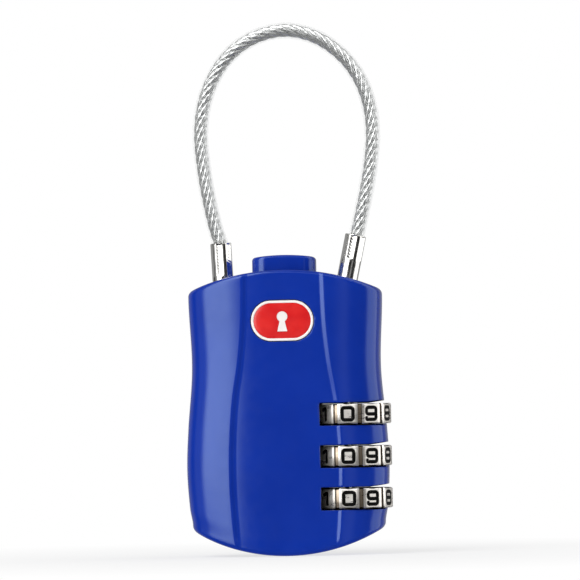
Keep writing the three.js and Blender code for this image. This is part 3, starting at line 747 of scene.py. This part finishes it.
def slot_tools(centre):
    """The slot of one dial: a strip wrapped round the side with filleted edges, and the room within."""
    width = float(half_width(level_of(SLOT_STATION, centre)))
    outer = QUARTER_X * width > SLOT_LEFT - 2
    table_x, table_y = QUARTER_X[outer], QUARTER_Y[outer]
    length = QUARTER_LENGTH[outer]
    around = np.concatenate([-length[:0:-1], length])
    around_x = np.concatenate([table_x[:0:-1], table_x])
    around_y = np.concatenate([-table_y[:0:-1], table_y])
    end = float(np.interp(-SLOT_LEFT / width, -table_x, length))

    def wrapped(u, v, deep):
        def at(position):
            x = np.interp(position, around, around_x) * half_width(level_of(SLOT_STATION, v))
            y = np.interp(position, around, around_y) * HALF_DEPTH
            front = y + panel_recess(x, level_of(x, v))
            return x, np.where(y < 0, front, rear_depth(y))

        x, y = at(u)
        along = unit(np.stack(at(u + 0.05), 1) - np.stack(at(u - 0.05), 1))
        z = v + np.where(v > centre, slot_rise(x), 0)
        return np.column_stack([x - along[:, 1] * deep, y + along[:, 0] * deep, z])

    half = SLOT_HEIGHT / 2
    outline = rounded_box(-end, end, centre - half, centre + half, SLOT_CORNER, along=120)
    tools = [heightfield_tool(*outline, wrapped, SLOT_FILLET, SLOT_SKIN)]
    for reach, front, rear in ((half, -10, 0.3), (half - SNUG, 0, 10)):
        opening = [
            (SLOT_LEFT, -reach),
            (SLOT_RIGHT, -reach),
            (SLOT_RIGHT, half + SLOT_RISE),
            (SLOT_RISE_FROM, reach),
            (SLOT_LEFT, reach),
        ]
        tools.append(prism([(x, z + centre) for x, z in opening], front, rear, crosswise=True))
    turn = np.linspace(math.pi, 2 * math.pi, 64)
    front_half = SLOT_RADIUS * np.stack([np.cos(turn), np.sin(turn)], 1) + (DIAL_X, 0)
    tools.append(prism(front_half, centre - half, centre + half))
    tools.append(post_tool(SLOT_RADIUS, DIAL_X, centre - half + SNUG, centre + half - SNUG, count=128))
    return tools


def seam_tool():
    """A fine groove along the joint of the two covers, right round the body."""
    inset, outset = 0.16, 0.4
    loops = np.array(body_loops())
    right = loops[:, loops.shape[1] // 2][:, (0, 2)]
    across = np.linspace(right[-1][0], -right[-1][0], 90)[1:-1]
    top = np.column_stack([across, top_at(across)])
    left = right[::-1] * (-1, 1)
    bottom = np.column_stack([-across, bottom_at(across)])
    line = np.concatenate([right, top, left, bottom])
    ahead = np.roll(line, -1, 0) - np.roll(line, 1, 0)
    out = unit(np.stack([ahead[:, 1], -ahead[:, 0]], 1))
    section = [(-inset, SEAM), (-inset * 0.55, SEAM * 1.8), (0, 0.15), (outset, 0.55)]
    section = [(o, -y) for o, y in section] + [(o, y) for o, y in reversed(section)]
    rings = [[(x + nx * o, y, z + nz * o) for o, y in section]
             for (x, z), (nx, nz) in zip(line, out)]
    return make_piece("tool", *closed_loft(rings))


SPINDLE_ROOM, CUP_ROOM, SLEEVE_ROOM, BLOCK_RIGHT = 1.42, 2.7, 4.5, 3.4
# From a dial's middle: the sleeve's room below and above it, and the ways of the fence's finger and the
# detent spring's bump.
SLEEVE_LEVELS = ((-3.975, -1.5), (1.5, SLOT_HEIGHT / 2))
FINGER_WAY = ((3.3, -1.2, -4.6), (6.35, 1.2, -1.5))
DETENT_WAY = ((3.3, 1.6, -1.1), (4.65, 4.1, 1.1))


def cavity_tools():
    """The room inside the body for the mechanism, a little larger than the pieces that fill it."""
    block_low, block_high = node_box("latch_block")
    carrier_low, _ = node_box("cylinder_carrier")
    spindle_low, _ = node_box("dial_spindle")
    room, sill, roof = 0.2, 27.6, 43.1
    tools = [
        box_tool((block_low[0] - room, block_low[1] - room, carrier_low[2] - room),
                 (BLOCK_RIGHT, block_high[1] + room, sill)),
        box_tool((block_low[0] - room, block_low[1] - room, sill - 0.1),
                 (block_high[0] + room, block_high[1] + room, roof)),
        post_tool(SPINDLE_ROOM, DIAL_X, spindle_low[2] - room, sill + 0.1),
        post_tool(CUP_ROOM, DIAL_X, sill, block_low[2] + 0.1),
    ]
    for i in (1, 2, 3):
        middle = node_middle(f"dial_{i}")[2]
        tools += [post_tool(SLEEVE_ROOM, DIAL_X, middle + low, middle + high) for low, high in SLEEVE_LEVELS]
        tools += [box_tool(*(np.array(way) + (0, 0, middle))) for way in (FINGER_WAY, DETENT_WAY)]
    for i in (1, 2, 3, 4):
        low, high = node_box(f"dowel_pin_{i}")
        rim, _ = circle((high[0] - low[0]) / 2 + 0.06, 32)
        middle = (low + high)[[0, 2]] / 2
        tools.append(prism(rim + middle, low[1] - 0.1, high[1] + 0.1, crosswise=True))
    return tools


def socket_tool(mouth, lean):
    return make_piece("tool", *spun([(SOCKET, -SOCKET_DEPTH), (SOCKET, SOCKET_ABOVE)], 64, lean, mouth))


def socket_mouth_tool(mouth, lean):
    """The fillet where a ferrule's socket comes out of the top."""
    slope = math.tan(math.radians(lean))
    centre = mouth[0] - slope * (mouth[1] - float(top_at(np.array(mouth[0] - 1.2 * slope))))

    def leaning(u, v, deep):
        return np.column_stack([u + centre - slope * deep, v, top_at(u + centre) - deep])

    return heightfield_tool(*circle(SOCKET), leaning, 0.22, 0.6)


def shade_inside(mesh, skin, shade_lining):
    """Paint on a cover's skin, and near-black painted shade on the faces of its slots, wells and rooms."""
    centres = np.empty(3 * len(mesh.polygons))
    mesh.polygons.foreach_get("center", centres)
    x, y, z = centres.reshape(-1, 3).T / MM
    reach = half_width(level_of(x, z))

    def under_skin(across):
        depth = np.where(y < 0, -front_y(across, z), rear_depth(bulge(across / reach)))
        return depth - np.abs(y)

    clear = 0.3
    within = (z > bottom_at(x) + 3 * clear) & (z < top_at(x) - 3 * clear) & (np.abs(x) < reach - clear)
    sideways = np.clip(x + np.sign(x) * clear, -reach, reach)
    inside = within & (under_skin(x) > clear) & (under_skin(sideways) > 0)
    # Painted shade goes on the faces found inside.
    mesh.materials.clear()
    mesh.materials.append(skin)
    mesh.materials.append(shade_lining)
    mesh.polygons.foreach_set("material_index", inside.astype(np.int32))


WELL_INSET, WELL_HALF_DEPTH, WELL_CORNER = 0.55, 3.9, 2.2
KEY_HOLE, RESET_HOLE = 3.7, 0.8


def bottom_hole(radius, x, count, fillet_radius, depth):
    outline, out = circle(radius, count)
    return heightfield_tool(outline + (x, 0), out, through_bottom, fillet_radius, depth)


def make_covers(material, shade_lining):
    body = make_piece("front_shell", *loft(body_loops()))
    low, high = node_box("push_button")
    left, right = low[0] + WELL_INSET, high[0] - WELL_INSET
    well = rounded_box(left, right, -WELL_HALF_DEPTH, WELL_HALF_DEPTH, WELL_CORNER)
    tools = [
        *cavity_tools(),
        heightfield_tool(*well, through_top, 0.25, 4.2),
        socket_tool(FIXED_MOUTH, FIXED_LEAN),
        socket_tool(FREE_MOUTH, FREE_LEAN),
        socket_mouth_tool(FIXED_MOUTH, FIXED_LEAN),
        socket_mouth_tool(FREE_MOUTH, FREE_LEAN),
        seam_tool(),
        bottom_hole(KEY_HOLE, node_middle("key_shell")[0], 96, 0.2, 5),
        bottom_hole(RESET_HOLE, DIAL_X, 48, 0.15, 4),
    ]
    for i in (1, 2, 3):
        tools += slot_tools(node_middle(f"dial_{i}")[2])
    low, high = node_box("badge_plate")
    pocket_depth = HALF_DEPTH - RECESS + high[1] + 0.03
    tools.append(heightfield_tool(*badge_outline(-0.12), through_front, 0.12, pocket_depth))
    boolean(body, tools)
    rear = make_object("rear_shell", body.data.copy())
    boolean(body, [box_tool((-30, -20, -5), (30, -SEAM, 60))], "INTERSECT")
    boolean(rear, [box_tool((-30, SEAM, -5), (30, 20, 60))], "INTERSECT")
    for shell, node in ((body, "front_cover"), (rear, "rear_cover")):
        shade_inside(shell.data, material, shade_lining)
        shaded(shell.data, 32)
        finish_piece(shell, "lock_body", "blue_paint", node)


# ---- badge ----

BADGE_FACE, BADGE_FLOOR, BADGE_RIM = 0.5, 0.18, 0.42
KEYHOLE_EYE, KEYHOLE_LIFT, KEYHOLE_FOOT, KEYHOLE_DROP = 0.85, 0.65, 0.8, 1.75


def badge_outline(inset=0.0):
    """A long oval with round ends, which stands for the mark on such locks without being like it."""
    low, high = node_box("badge_plate")
    left, right, foot, head = low[0] + inset, high[0] - inset, low[2] + inset, high[2] - inset
    return rounded_box(left, right, foot, head, (high[2] - low[2]) / 2 - inset - 0.01, 24, 14)


def badge_layers(steps):
    """Loops of the badge's oval at each (inset, height above its back)."""
    back = node_box("badge_plate")[1][1]
    loops = []
    for inset, height in steps:
        rim, _ = badge_outline(inset)
        loops.append(np.column_stack([rim[:, 0], np.full(len(rim), back - height), rim[:, 1]]))
    return loft(loops)


def keyhole_tool(grow, low, high):
    """A keyhole between two heights above the badge's back."""
    middle = node_middle("badge_plate")
    back = node_box("badge_plate")[1][1]
    eye, foot, drop = KEYHOLE_EYE + grow, KEYHOLE_FOOT + grow, KEYHOLE_DROP + grow
    neck = math.radians(30)
    angles = np.linspace(-math.pi / 2 + neck, 1.5 * math.pi - neck, 40)
    rim = [(eye * math.cos(a), KEYHOLE_LIFT + eye * math.sin(a)) for a in angles]
    rim += [(-foot, -drop), (foot, -drop)]
    return prism(np.array(rim) + (middle[0], middle[2]), back - high, back - low, crosswise=True)


def make_badge():
    face, floor, rim = BADGE_FACE, BADGE_FLOOR, BADGE_RIM
    tray = [(0, 0), (0, face - 0.12), (0.03, face - 0.05), (0.12, face),
            (rim - 0.1, face), (rim - 0.02, face - 0.05), (rim, face - 0.1), (rim, floor)]
    plate = make_piece("badge_rim", *badge_layers(tray))
    boolean(plate, [keyhole_tool(0, floor - 0.1, face + 0.05)], "UNION")
    fill = [(rim + 0.01, floor + 0.01), (rim + 0.01, face - 0.12), (rim + 0.12, face - 0.09),
            (rim + 0.5, face - 0.04), (rim + 1.1, face - 0.01), (rim + 2.2, face + 0.01)]
    red = make_piece("badge_fill", *badge_layers(fill))
    boolean(red, [keyhole_tool(0.03, 0, 1)])
    for piece, slot, node in ((plate, "badge_white", "badge_plate"), (red, "badge_red", "badge_enamel")):
        coated(piece, LOOKS[slot])
        finish_piece(piece, "lock_body", slot, node)


# ---- button ----

CAP_HALF_DEPTH, CAP_CORNER, CAP_FILLET, CAP_CROWN = 3.7, 2.2, 0.5, 0.4
CAP_INSET, CAP_BASE, FLANGE_TOP = 0.7, 42.0, 43.0
STEM = ((1.3, 42.5), (-4.7, 42.5), (-4.7, 40.2), (-3.3, 38.2), (-1.9, 36.2), (-1.9, 32.6), (1.3, 32.6))


def make_button():
    """A cap with a crowned top and a soft edge, on the flange and ramped stem that work the latch."""
    low, high = node_box("push_button")
    cap_half = (high[0] - low[0]) / 2 - CAP_INSET
    outline, out = rounded_box(-cap_half, cap_half, -CAP_HALF_DEPTH, CAP_HALF_DEPTH, CAP_CORNER, 48, 12)
    steps = [(0, None), (0, CAP_FILLET)]
    for angle in np.radians([20, 40, 60, 80, 90]):
        steps.append((-CAP_FILLET * (1 - math.cos(angle)), CAP_FILLET * (1 - math.sin(angle))))
    steps += [(-spread, 0) for spread in (0.8, 1.2, 1.7, 2.1)]
    loops = []
    for spread, drop in steps:
        rim = outline + out * spread
        crowned = high[2] - CAP_CROWN * (rim[:, 0] / cap_half) ** 2
        loops.append(raised(rim, CAP_BASE if drop is None else crowned - drop))
    cap = make_piece("button_cap", *loft(loops))
    stem = prism(STEM, -1.5, 1.5, crosswise=True)
    flange = box_tool((low[0], low[1], CAP_BASE), (high[0], high[1], FLANGE_TOP))
    boolean(cap, [flange, stem], "UNION")
    coated(cap, LOOKS["blue_paint"], 30)
    finish_piece(cap, "button", "blue_paint", "push_button")


# ---- dials ----

NUMERAL_HALF_WIDTH, NUMERAL_HALF_HEIGHT, STROKE, NUMERAL_CORNER = 1.17, 1.27, 0.56, 0.45
# An open stroke runs on past its ends by a share of its width, and narrows to another share of it.
STROKE_END, STROKE_TIP = 0.3, 0.55
ENGRAVED, INLAY_DEPTH = 0.16, 0.03

# Strokes of each digit, on a box from -1 to 1 each way; a stroke that ends where it starts is closed.
BOX = ((-1, -1), (1, -1), (1, 1), (-1, 1), (-1, -1))
NUMERALS = (
    (BOX,),
    (((-0.55, 0.62), (0.15, 1), (0.15, -1)),),
    (((-1, 0.72), (-1, 1), (1, 1), (1, 0), (-1, -1), (1, -1)),),
    (((-1, 1), (1, 1), (1, -1), (-1, -1)), ((-0.5, 0), (1, 0))),
    (((-0.2, 1), (-1, -0.3), (1, -0.3)), ((0.45, 0.35), (0.45, -1))),
    (((1, 1), (-1, 1), (-1, 0.1), (1, 0.1), (1, -1), (-1, -1)),),
    (((-1, -1), (1, -1), (1, 0.1), (-1, 0.1), (-1, -1)), ((1, 1), (-1, 1), (-1, 0.1))),
    (((-1, 1), (1, 1), (0, -1)),),
    (BOX, ((-1, 0), (1, 0))),
    (((-1, -0.1), (1, -0.1), (1, 1), (-1, 1), (-1, -0.1)), ((1, -0.1), (1, -1), (-1, -1), (-1, -0.6))),
)


def rounded_stroke(corners):
    """The points of a stroke's centre line with its corners rounded off."""
    corners = np.array(corners) * (NUMERAL_HALF_WIDTH - STROKE / 2, NUMERAL_HALF_HEIGHT - STROKE / 2)
    closed = np.allclose(corners[0], corners[-1])
    if closed:
        corners = np.vstack([(corners[0] + corners[1]) / 2, corners[1:], (corners[0] + corners[1]) / 2])
    line = [corners[0]]
    for before, corner, after in zip(corners, corners[1:], corners[2:]):
        back, ahead = math.dist(before, corner), math.dist(after, corner)
        reach = min(NUMERAL_CORNER, back * 0.49, ahead * 0.49)
        start = corner + (before - corner) / back * reach
        stop = corner + (after - corner) / ahead * reach
        for t in np.linspace(0, 1, 7):
            line.append((1 - t) ** 2 * start + 2 * t * (1 - t) * corner + t * t * stop)
    line.append(corners[-1])
    return np.array(line), closed


def stroke_tool(corners, grow, place):
    """A bar along a stroke. place(u, w, top) puts its points on a dial's flat."""
    line, closed = rounded_stroke(corners)
    if closed:
        line = line[:-1]
        ahead = unit(np.roll(line, -1, 0) - np.roll(line, 1, 0))
    else:
        ahead = unit(np.gradient(line, axis=0))
        tip = STROKE * STROKE_END
        line = np.vstack([line[0] - ahead[0] * tip, line, line[-1] + ahead[-1] * tip])
        ahead = np.vstack([ahead[0], ahead, ahead[-1]])
    side = np.stack([ahead[:, 1], -ahead[:, 0]], 1) * (STROKE / 2 + grow)
    if not closed:
        side[[0, -1]] *= STROKE_TIP
    loops = []
    for point, edge in zip(line, side):
        loops.append([place(*(point + edge), False), place(*(point + edge), True),
                      place(*(point - edge), True), place(*(point - edge), False)])
    return make_piece("tool", *(closed_loft(loops) if closed else loft(loops)))


def digit_tools(low, high, grow=0.0):
    """Every numeral's strokes round the dial, from one height above the flats to another."""
    tools = []
    for position in range(DIGITS):
        angle = math.radians(FIRST_DIGIT + position * 360 / DIGITS)
        out, along = (math.cos(angle), math.sin(angle)), (-math.sin(angle), math.cos(angle))

        def place(u, w, top):
            reach = FLAT + (high if top else low)
            return (DIAL_X + out[0] * reach + along[0] * u, out[1] * reach + along[1] * u, w)

        strokes = NUMERALS[(DIGITS - position) % DIGITS]
        tools.append([stroke_tool(stroke, grow, place) for stroke in strokes])
    return tools


def around_dial(pattern):
    """The points of one digit's share of an outline, repeated round the dial."""
    points = []
    for position in range(DIGITS):
        middle = math.radians(FIRST_DIGIT) + position * 2 * math.pi / DIGITS
        points += [(r * math.cos(middle + a), r * math.sin(middle + a)) for r, a in pattern]
    return np.array(points)


def dial_rim():
    """One digit's share of the dial's outline: a flat, softened at its corners, and the groove after it."""
    pitch = math.pi / DIGITS
    flat_half, groove_half = math.radians(FLAT_HALF_ANGLE), math.radians(GROOVE_HALF_ANGLE)
    flat = [(FLAT / math.cos(a), a) for a in np.linspace(-flat_half * 0.96, flat_half * 0.96, 9)]
    corner = FLAT / math.cos(flat_half)
    down = [(corner - 0.025, flat_half + 0.001), (corner - 0.09, flat_half + 0.006),
            (GROOVE + 0.05, pitch - groove_half - 0.004), (GROOVE, pitch - groove_half + 0.004)]
    up = [(r, 2 * pitch - a) for r, a in reversed(down)]
    return [*flat, *down, (GROOVE, pitch), *up]


def make_dial():
    """A dial about the height 0: flats with engraved numerals, grooves between them, and a toothed bore."""
    low, high = node_box("dial_1")
    half = (high[2] - low[2]) / 2
    rim = around_dial(dial_rim())
    reach = np.linalg.norm(rim, axis=1, keepdims=True)
    top = [(0, half - 0.22), (0.08, half - 0.07), (0.22, half)]
    steps = [(inset, -height) for inset, height in reversed(top)] + top
    loops = [raised(rim * (1 - inset / reach) + (DIAL_X, 0), height) for inset, height in steps]
    points, faces = loft(loops, caps=False)
    count = len(rim)
    faces += [tuple(range(count)), tuple(range(len(points) - count, len(points)))]
    wheel = make_piece("dial_wheel", points, faces)
    pitch = 2 * math.pi / DIGITS
    teeth = ((NOTCH, -TOOTH_HALF), (NOTCH, TOOTH_HALF), (BORE, GAP_HALF), (BORE, pitch - GAP_HALF))
    tools = [
        prism(around_dial(teeth) + (DIAL_X, 0), -half - 1, half + 1),
        post_tool(NOTCH + 0.05, DIAL_X, -half + COUNTERBORE, half + 1),
    ]
    for strokes in digit_tools(-ENGRAVED, 0.5, 0.012):
        tools += strokes
    return boolean(wheel, tools)


def make_numerals():
    """The black in the engraved numerals, a little below the flats."""
    pieces = []
    for strokes in digit_tools(-ENGRAVED + 0.01, -INLAY_DEPTH):
        pieces.append(boolean(strokes[0], strokes[1:], "UNION") if strokes[1:] else strokes[0])
    points, faces = joined([
        (np.array([v.co for v in piece.data.vertices]) / MM, [tuple(p.vertices) for p in piece.data.polygons])
        for piece in pieces])
    for piece in pieces:
        bpy.data.objects.remove(piece)
    return make_piece("numerals", points, faces)


def make_dials():
    wheel, numerals = make_dial(), make_numerals()
    for piece, look in ((wheel, LOOKS["dial_nickel"]), (numerals, NUMERAL_BLACK)):
        coated(piece, look, 30)
    for i in (1, 2, 3):
        lift = Matrix.Translation((0, 0, node_middle(f"dial_{i}")[2] * MM))
        for first, name in ((wheel, f"dial_wheel_{i}"), (numerals, f"dial_numerals_{i}")):
            mesh = first.data.copy()
            mesh.transform(lift)
            piece = make_object(name, mesh)
            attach(piece, f"dial_{i}")
            if first is wheel:
                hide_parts(f"dial_{i}")
    for first in (wheel, numerals):
        bpy.data.objects.remove(first)


# ---- ferrules ----

CRIMP_FLAT, CRIMP_RIPPLE, CRIMP_PITCH = 1.62, 0.006, 0.5
FIXED_CRIMP, FIXED_TURN = (0.25, 5.2), -9
FREE_CRIMP, FREE_TURN = (0.2, 3.9), -8


def crimped(heights, radii, crimp, turn, lean, at):
    """A turned shape pressed into six slightly hollow flats between two depths below its mouth."""
    near, far = crimp
    ring, _ = circle(1, 180)
    angle = np.arctan2(ring[:, 1], ring[:, 0])
    away = (angle + math.pi / 2 - math.radians(turn)) % (math.pi / 3)
    away = np.minimum(away, math.pi / 3 - away)
    hollow = np.cos(3 * away) ** 2
    flat = CRIMP_FLAT / np.cos(away) - 0.04 * hollow
    loops = []
    for z, radius in zip(heights, radii):
        press = smoothstep(-far - 0.45, -far + 0.1, z) * (1 - smoothstep(-near - 0.05, -near + 0.2, z))
        ripple = CRIMP_RIPPLE * hollow * np.sin(2 * math.pi * (z / CRIMP_PITCH + 1.6 * angle))
        pressed = radius + (np.minimum(radius, flat + ripple) - radius) * press
        loops.append(raised(ring * np.maximum(pressed, 1e-3)[:, None], z))
    points, faces = loft(loops)
    return placed(points, lean, at), faces


def ferrule_profile(outside, bore):
    """Radii and heights from the tip up the outside, over the rounded mouth and down the bore."""
    tip = [(1e-3, outside[0][1]), *outside]
    barrel = [(FERRULE_RADIUS, z) for z in np.linspace(outside[-1][1] + 0.1, -0.2, 150)]
    mouth = [(FERRULE_RADIUS - 0.02, -0.08), (FERRULE_RADIUS - 0.08, -0.01), (bore + 0.03, 0), (bore, -0.05)]
    bottom = [(bore, -1.5), (bore - 0.1, -1.6), (1e-3, -1.6)]
    return zip(*(tip + barrel + mouth + bottom))


def make_ferrules():
    bore = FERRULE_BORE - 0.12
    fixed = [(1.35, -16), (1.5, -15.93), (1.6, -15.75), (1.6, -15.6),
             (1.15, -15.55), (1.15, -14.05), (1.6, -14), (FERRULE_RADIUS, -13.9)]
    free = [(0.6, -17), (0.75, -16.96), (1.45, -16.25), (1.5, -16.15), (1.5, -15.9), (1.45, -15.85),
            (1.0, -15.6), (1.0, -14.5), (1.45, -14.25), (1.5, -14.2), (1.5, -9),
            (1.55, -8.95), (1.68, -8.8), (FERRULE_RADIUS, -8.7)]
    ends = (
        ("fixed", fixed, FIXED_CRIMP, FIXED_TURN, FIXED_LEAN, FIXED_MOUTH, "lock_body"),
        ("free", free, FREE_CRIMP, FREE_TURN, FREE_LEAN, FREE_MOUTH, "free_end"),
    )
    for name, outside, crimp, turn, lean, mouth, body in ends:
        radii, heights = ferrule_profile(outside, bore)
        piece = make_piece(f"{name}_end_ferrule", *crimped(heights, radii, crimp, turn, lean, mouth),
                           LOOKS["ferrule_nickel"], 40)
        finish_piece(piece, body, "ferrule_nickel", f"{name}_ferrule")


# ---- key cylinder ----

RING_BORE = 2.8
KEYWAY_HALF_WIDTH, KEYWAY_HALF_LENGTH, KEYWAY_TOP = 0.45, 1.95, 17
SCREW_HOLE, SCREW_HOLE_FOOT = 0.72, 17.4


def make_key_cylinder():
    """The ring and the slotted plug that show in the bottom of the lock."""
    shell_low, shell_high = node_box("key_shell")
    plug_low, plug_high = node_box("key_plug")
    middle = node_middle("key_plug")
    outer, inner = (shell_high[0] - shell_low[0]) / 2, RING_BORE
    foot, top = shell_low[2], shell_high[2]
    rings = [(inner, top), (inner, foot + 0.2), (inner + 0.15, foot + 0.02), (inner + 0.25, foot),
             (outer - 0.2, foot), (outer - 0.05, foot + 0.06), (outer, foot + 0.2), (outer, top)]
    ring, _ = circle(1, 96)
    loops = [raised(ring * r + (middle[0], 0), z) for r, z in rings]
    shell = make_piece("cylinder_ring", *closed_loft(loops), LOOKS["brass"])
    finish_piece(shell, "lock_body", "brass", "key_shell")

    radius, face, tail = (plug_high[0] - plug_low[0]) / 2, plug_low[2], plug_high[2]
    profile = [(1e-3, face + 0.12), (1.2, face + 0.1), (1.9, face), (radius - 0.15, face),
               (radius, face + 0.15), (radius, tail), (1e-3, tail)]
    plug = make_piece("cylinder_plug", *spun(profile, at=(middle[0], 0)))
    tools = [
        box_tool((middle[0] - KEYWAY_HALF_WIDTH, -KEYWAY_HALF_LENGTH, face - 1),
                 (middle[0] + KEYWAY_HALF_WIDTH, KEYWAY_HALF_LENGTH, KEYWAY_TOP)),
        post_tool(SCREW_HOLE, middle[0], SCREW_HOLE_FOOT, tail + 1),
    ]
    for i in range(1, 6):
        low, high = node_box(f"key_wafer_{i}")
        tools.append(box_tool((low[0] - 0.1, -3, low[2] - 0.1), (high[0] + 0.1, 3, high[2] + 0.1)))
    boolean(plug, tools)
    coated(plug, LOOKS["brass"])
    finish_piece(plug, "key_plug", "brass", "key_plug")


# ---- springs ----

def make_springs():
    """Copies of the springs that the joints press, smooth shaded and fixed to the lock's body."""
    for joint in frame["record"]["behaviour"]["joints"]:
        for row in joint.get("deforming_nodes", []):
            if not row["mode"].startswith("scale_"):
                continue
            letter = row["mode"][-1]
            axis = "xyz".index(letter)
            node, fixed = row["node"], row[f"fixed_end_{letter}_m"]
            low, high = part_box(node)
            coil = make_object(node.replace("spring", "coil"), nodes[node].data.copy())
            shaded(coil.data, 80)
            finish_piece(coil, "lock_body", "steel", node)
            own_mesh(coil)


# ---- stage ----

# Soft patches of light as seen from the lock: azimuth from the camera's side towards +X and elevation of
# the middle, half sizes, softness, all in degrees, and radiance.
PATCHES = (
    (-40, 34, 20, 40, 14, 4.6),
    (-75, 30, 16, 40, 12, 0.4),
    (19, 10, 5, 40, 8, 0.4),
    (90, 20, 27, 45, 12, 1.8),
    (-10, 50, 70, 14, 16, 0.9),
)
DARK_FRONT, GREY_BACK = 0.03, 0.38
BACKDROP = 1.0
FLOOR_RADIUS = 900


def make_world():
    """White to the camera, and to everything else a studio with soft boxes round a dark front."""
    world = bpy.data.worlds.new("studio")
    bpy.context.scene.world = world
    world.use_nodes = True
    tree = world.node_tree
    tree.nodes.clear()

    def make(kind, **settings):
        return new_node(tree, kind, **settings)

    def maths(operation, *values):
        made = make("ShaderNodeMath", operation=operation)
        for socket, value in zip(made.inputs, values):
            if isinstance(value, bpy.types.NodeSocket):
                tree.links.new(value, socket)
            else:
                socket.default_value = value
        return made.outputs[0]

    def soft_step(value, near, far):
        """One below near, nought beyond far."""
        return map_range(tree, value, near, far, 1, 0, interpolation_type="SMOOTHSTEP")

    direction = make("ShaderNodeSeparateXYZ")
    tree.links.new(make("ShaderNodeTexCoord").outputs["Generated"], direction.inputs[0])
    x, y, z = direction.outputs
    azimuth = maths("SUBTRACT", maths("ARCTAN2", x, maths("MULTIPLY", y, -1)), CAMERA_RIGHT)
    elevation = maths("ARCSINE", z)
    back = soft_step(maths("ABSOLUTE", azimuth), math.radians(105), math.radians(130))
    light = maths("ADD", maths("MULTIPLY", maths("SUBTRACT", 1, back), GREY_BACK - DARK_FRONT), DARK_FRONT)
    for side, up, wide, tall, soft, radiance in PATCHES:
        strength = radiance
        for value, middle, half in ((azimuth, side, wide), (elevation, up, tall)):
            away = maths("ABSOLUTE", maths("SUBTRACT", value, math.radians(middle)))
            edge = soft_step(away, math.radians(half - soft / 2), math.radians(half + soft / 2))
            strength = maths("MULTIPLY", edge, strength)
        light = maths("ADD", light, strength)

    seen, lit = make("ShaderNodeBackground"), make("ShaderNodeBackground")
    seen.inputs["Color"].default_value = (BACKDROP, BACKDROP, BACKDROP, 1)
    tree.links.new(light, lit.inputs["Strength"])
    mix = make("ShaderNodeMixShader")
    tree.links.new(make("ShaderNodeLightPath").outputs["Is Camera Ray"], mix.inputs["Fac"])
    tree.links.new(lit.outputs[0], mix.inputs[1])
    tree.links.new(seen.outputs[0], mix.inputs[2])
    tree.links.new(mix.outputs[0], make("ShaderNodeOutputWorld").inputs["Surface"])


def make_floor():
    """A pale disc just under the lock that fades into the white round it."""
    ring, _ = circle(FLOOR_RADIUS, 128)
    level = cad_box[0][2] / MM - 0.05
    floor = make_piece("floor", raised(ring + (AIM.x, 0), level), [tuple(range(128))])
    look = Look("pale_floor", Roughness=0.9, Specular_IOR_Level=0)
    look.colour(look.noise(30, 4), (0.80, 0.80, 0.80), (0.83, 0.83, 0.83))
    glow = look.make("ShaderNodeEmission")
    glow.inputs["Color"].default_value = (BACKDROP, BACKDROP, BACKDROP, 1)
    far = look.make("ShaderNodeVectorMath", operation="LENGTH")
    look.link(look.position, far.inputs[0])
    mix = look.make("ShaderNodeMixShader")
    look.link(look.between(far.outputs["Value"], 0.7, 1, 0.02, 0.1), mix.inputs["Fac"])
    look.link(look.shader.outputs[0], mix.inputs[1])
    look.link(glow.outputs[0], mix.inputs[2])
    look.link(mix.outputs[0], look.tree.nodes["Material Output"].inputs["Surface"])
    floor.data.materials.append(look.material)
    floor.visible_glossy = False


# ---- assembly ----

paint_nodes()
make_cable()
make_covers(LOOKS["blue_paint"], SHADE_LINING)
make_badge()
make_button()
make_dials()
make_ferrules()
make_key_cylinder()
make_springs()
make_world()
make_floor()
bpy.context.scene.view_settings.view_transform = "Standard"
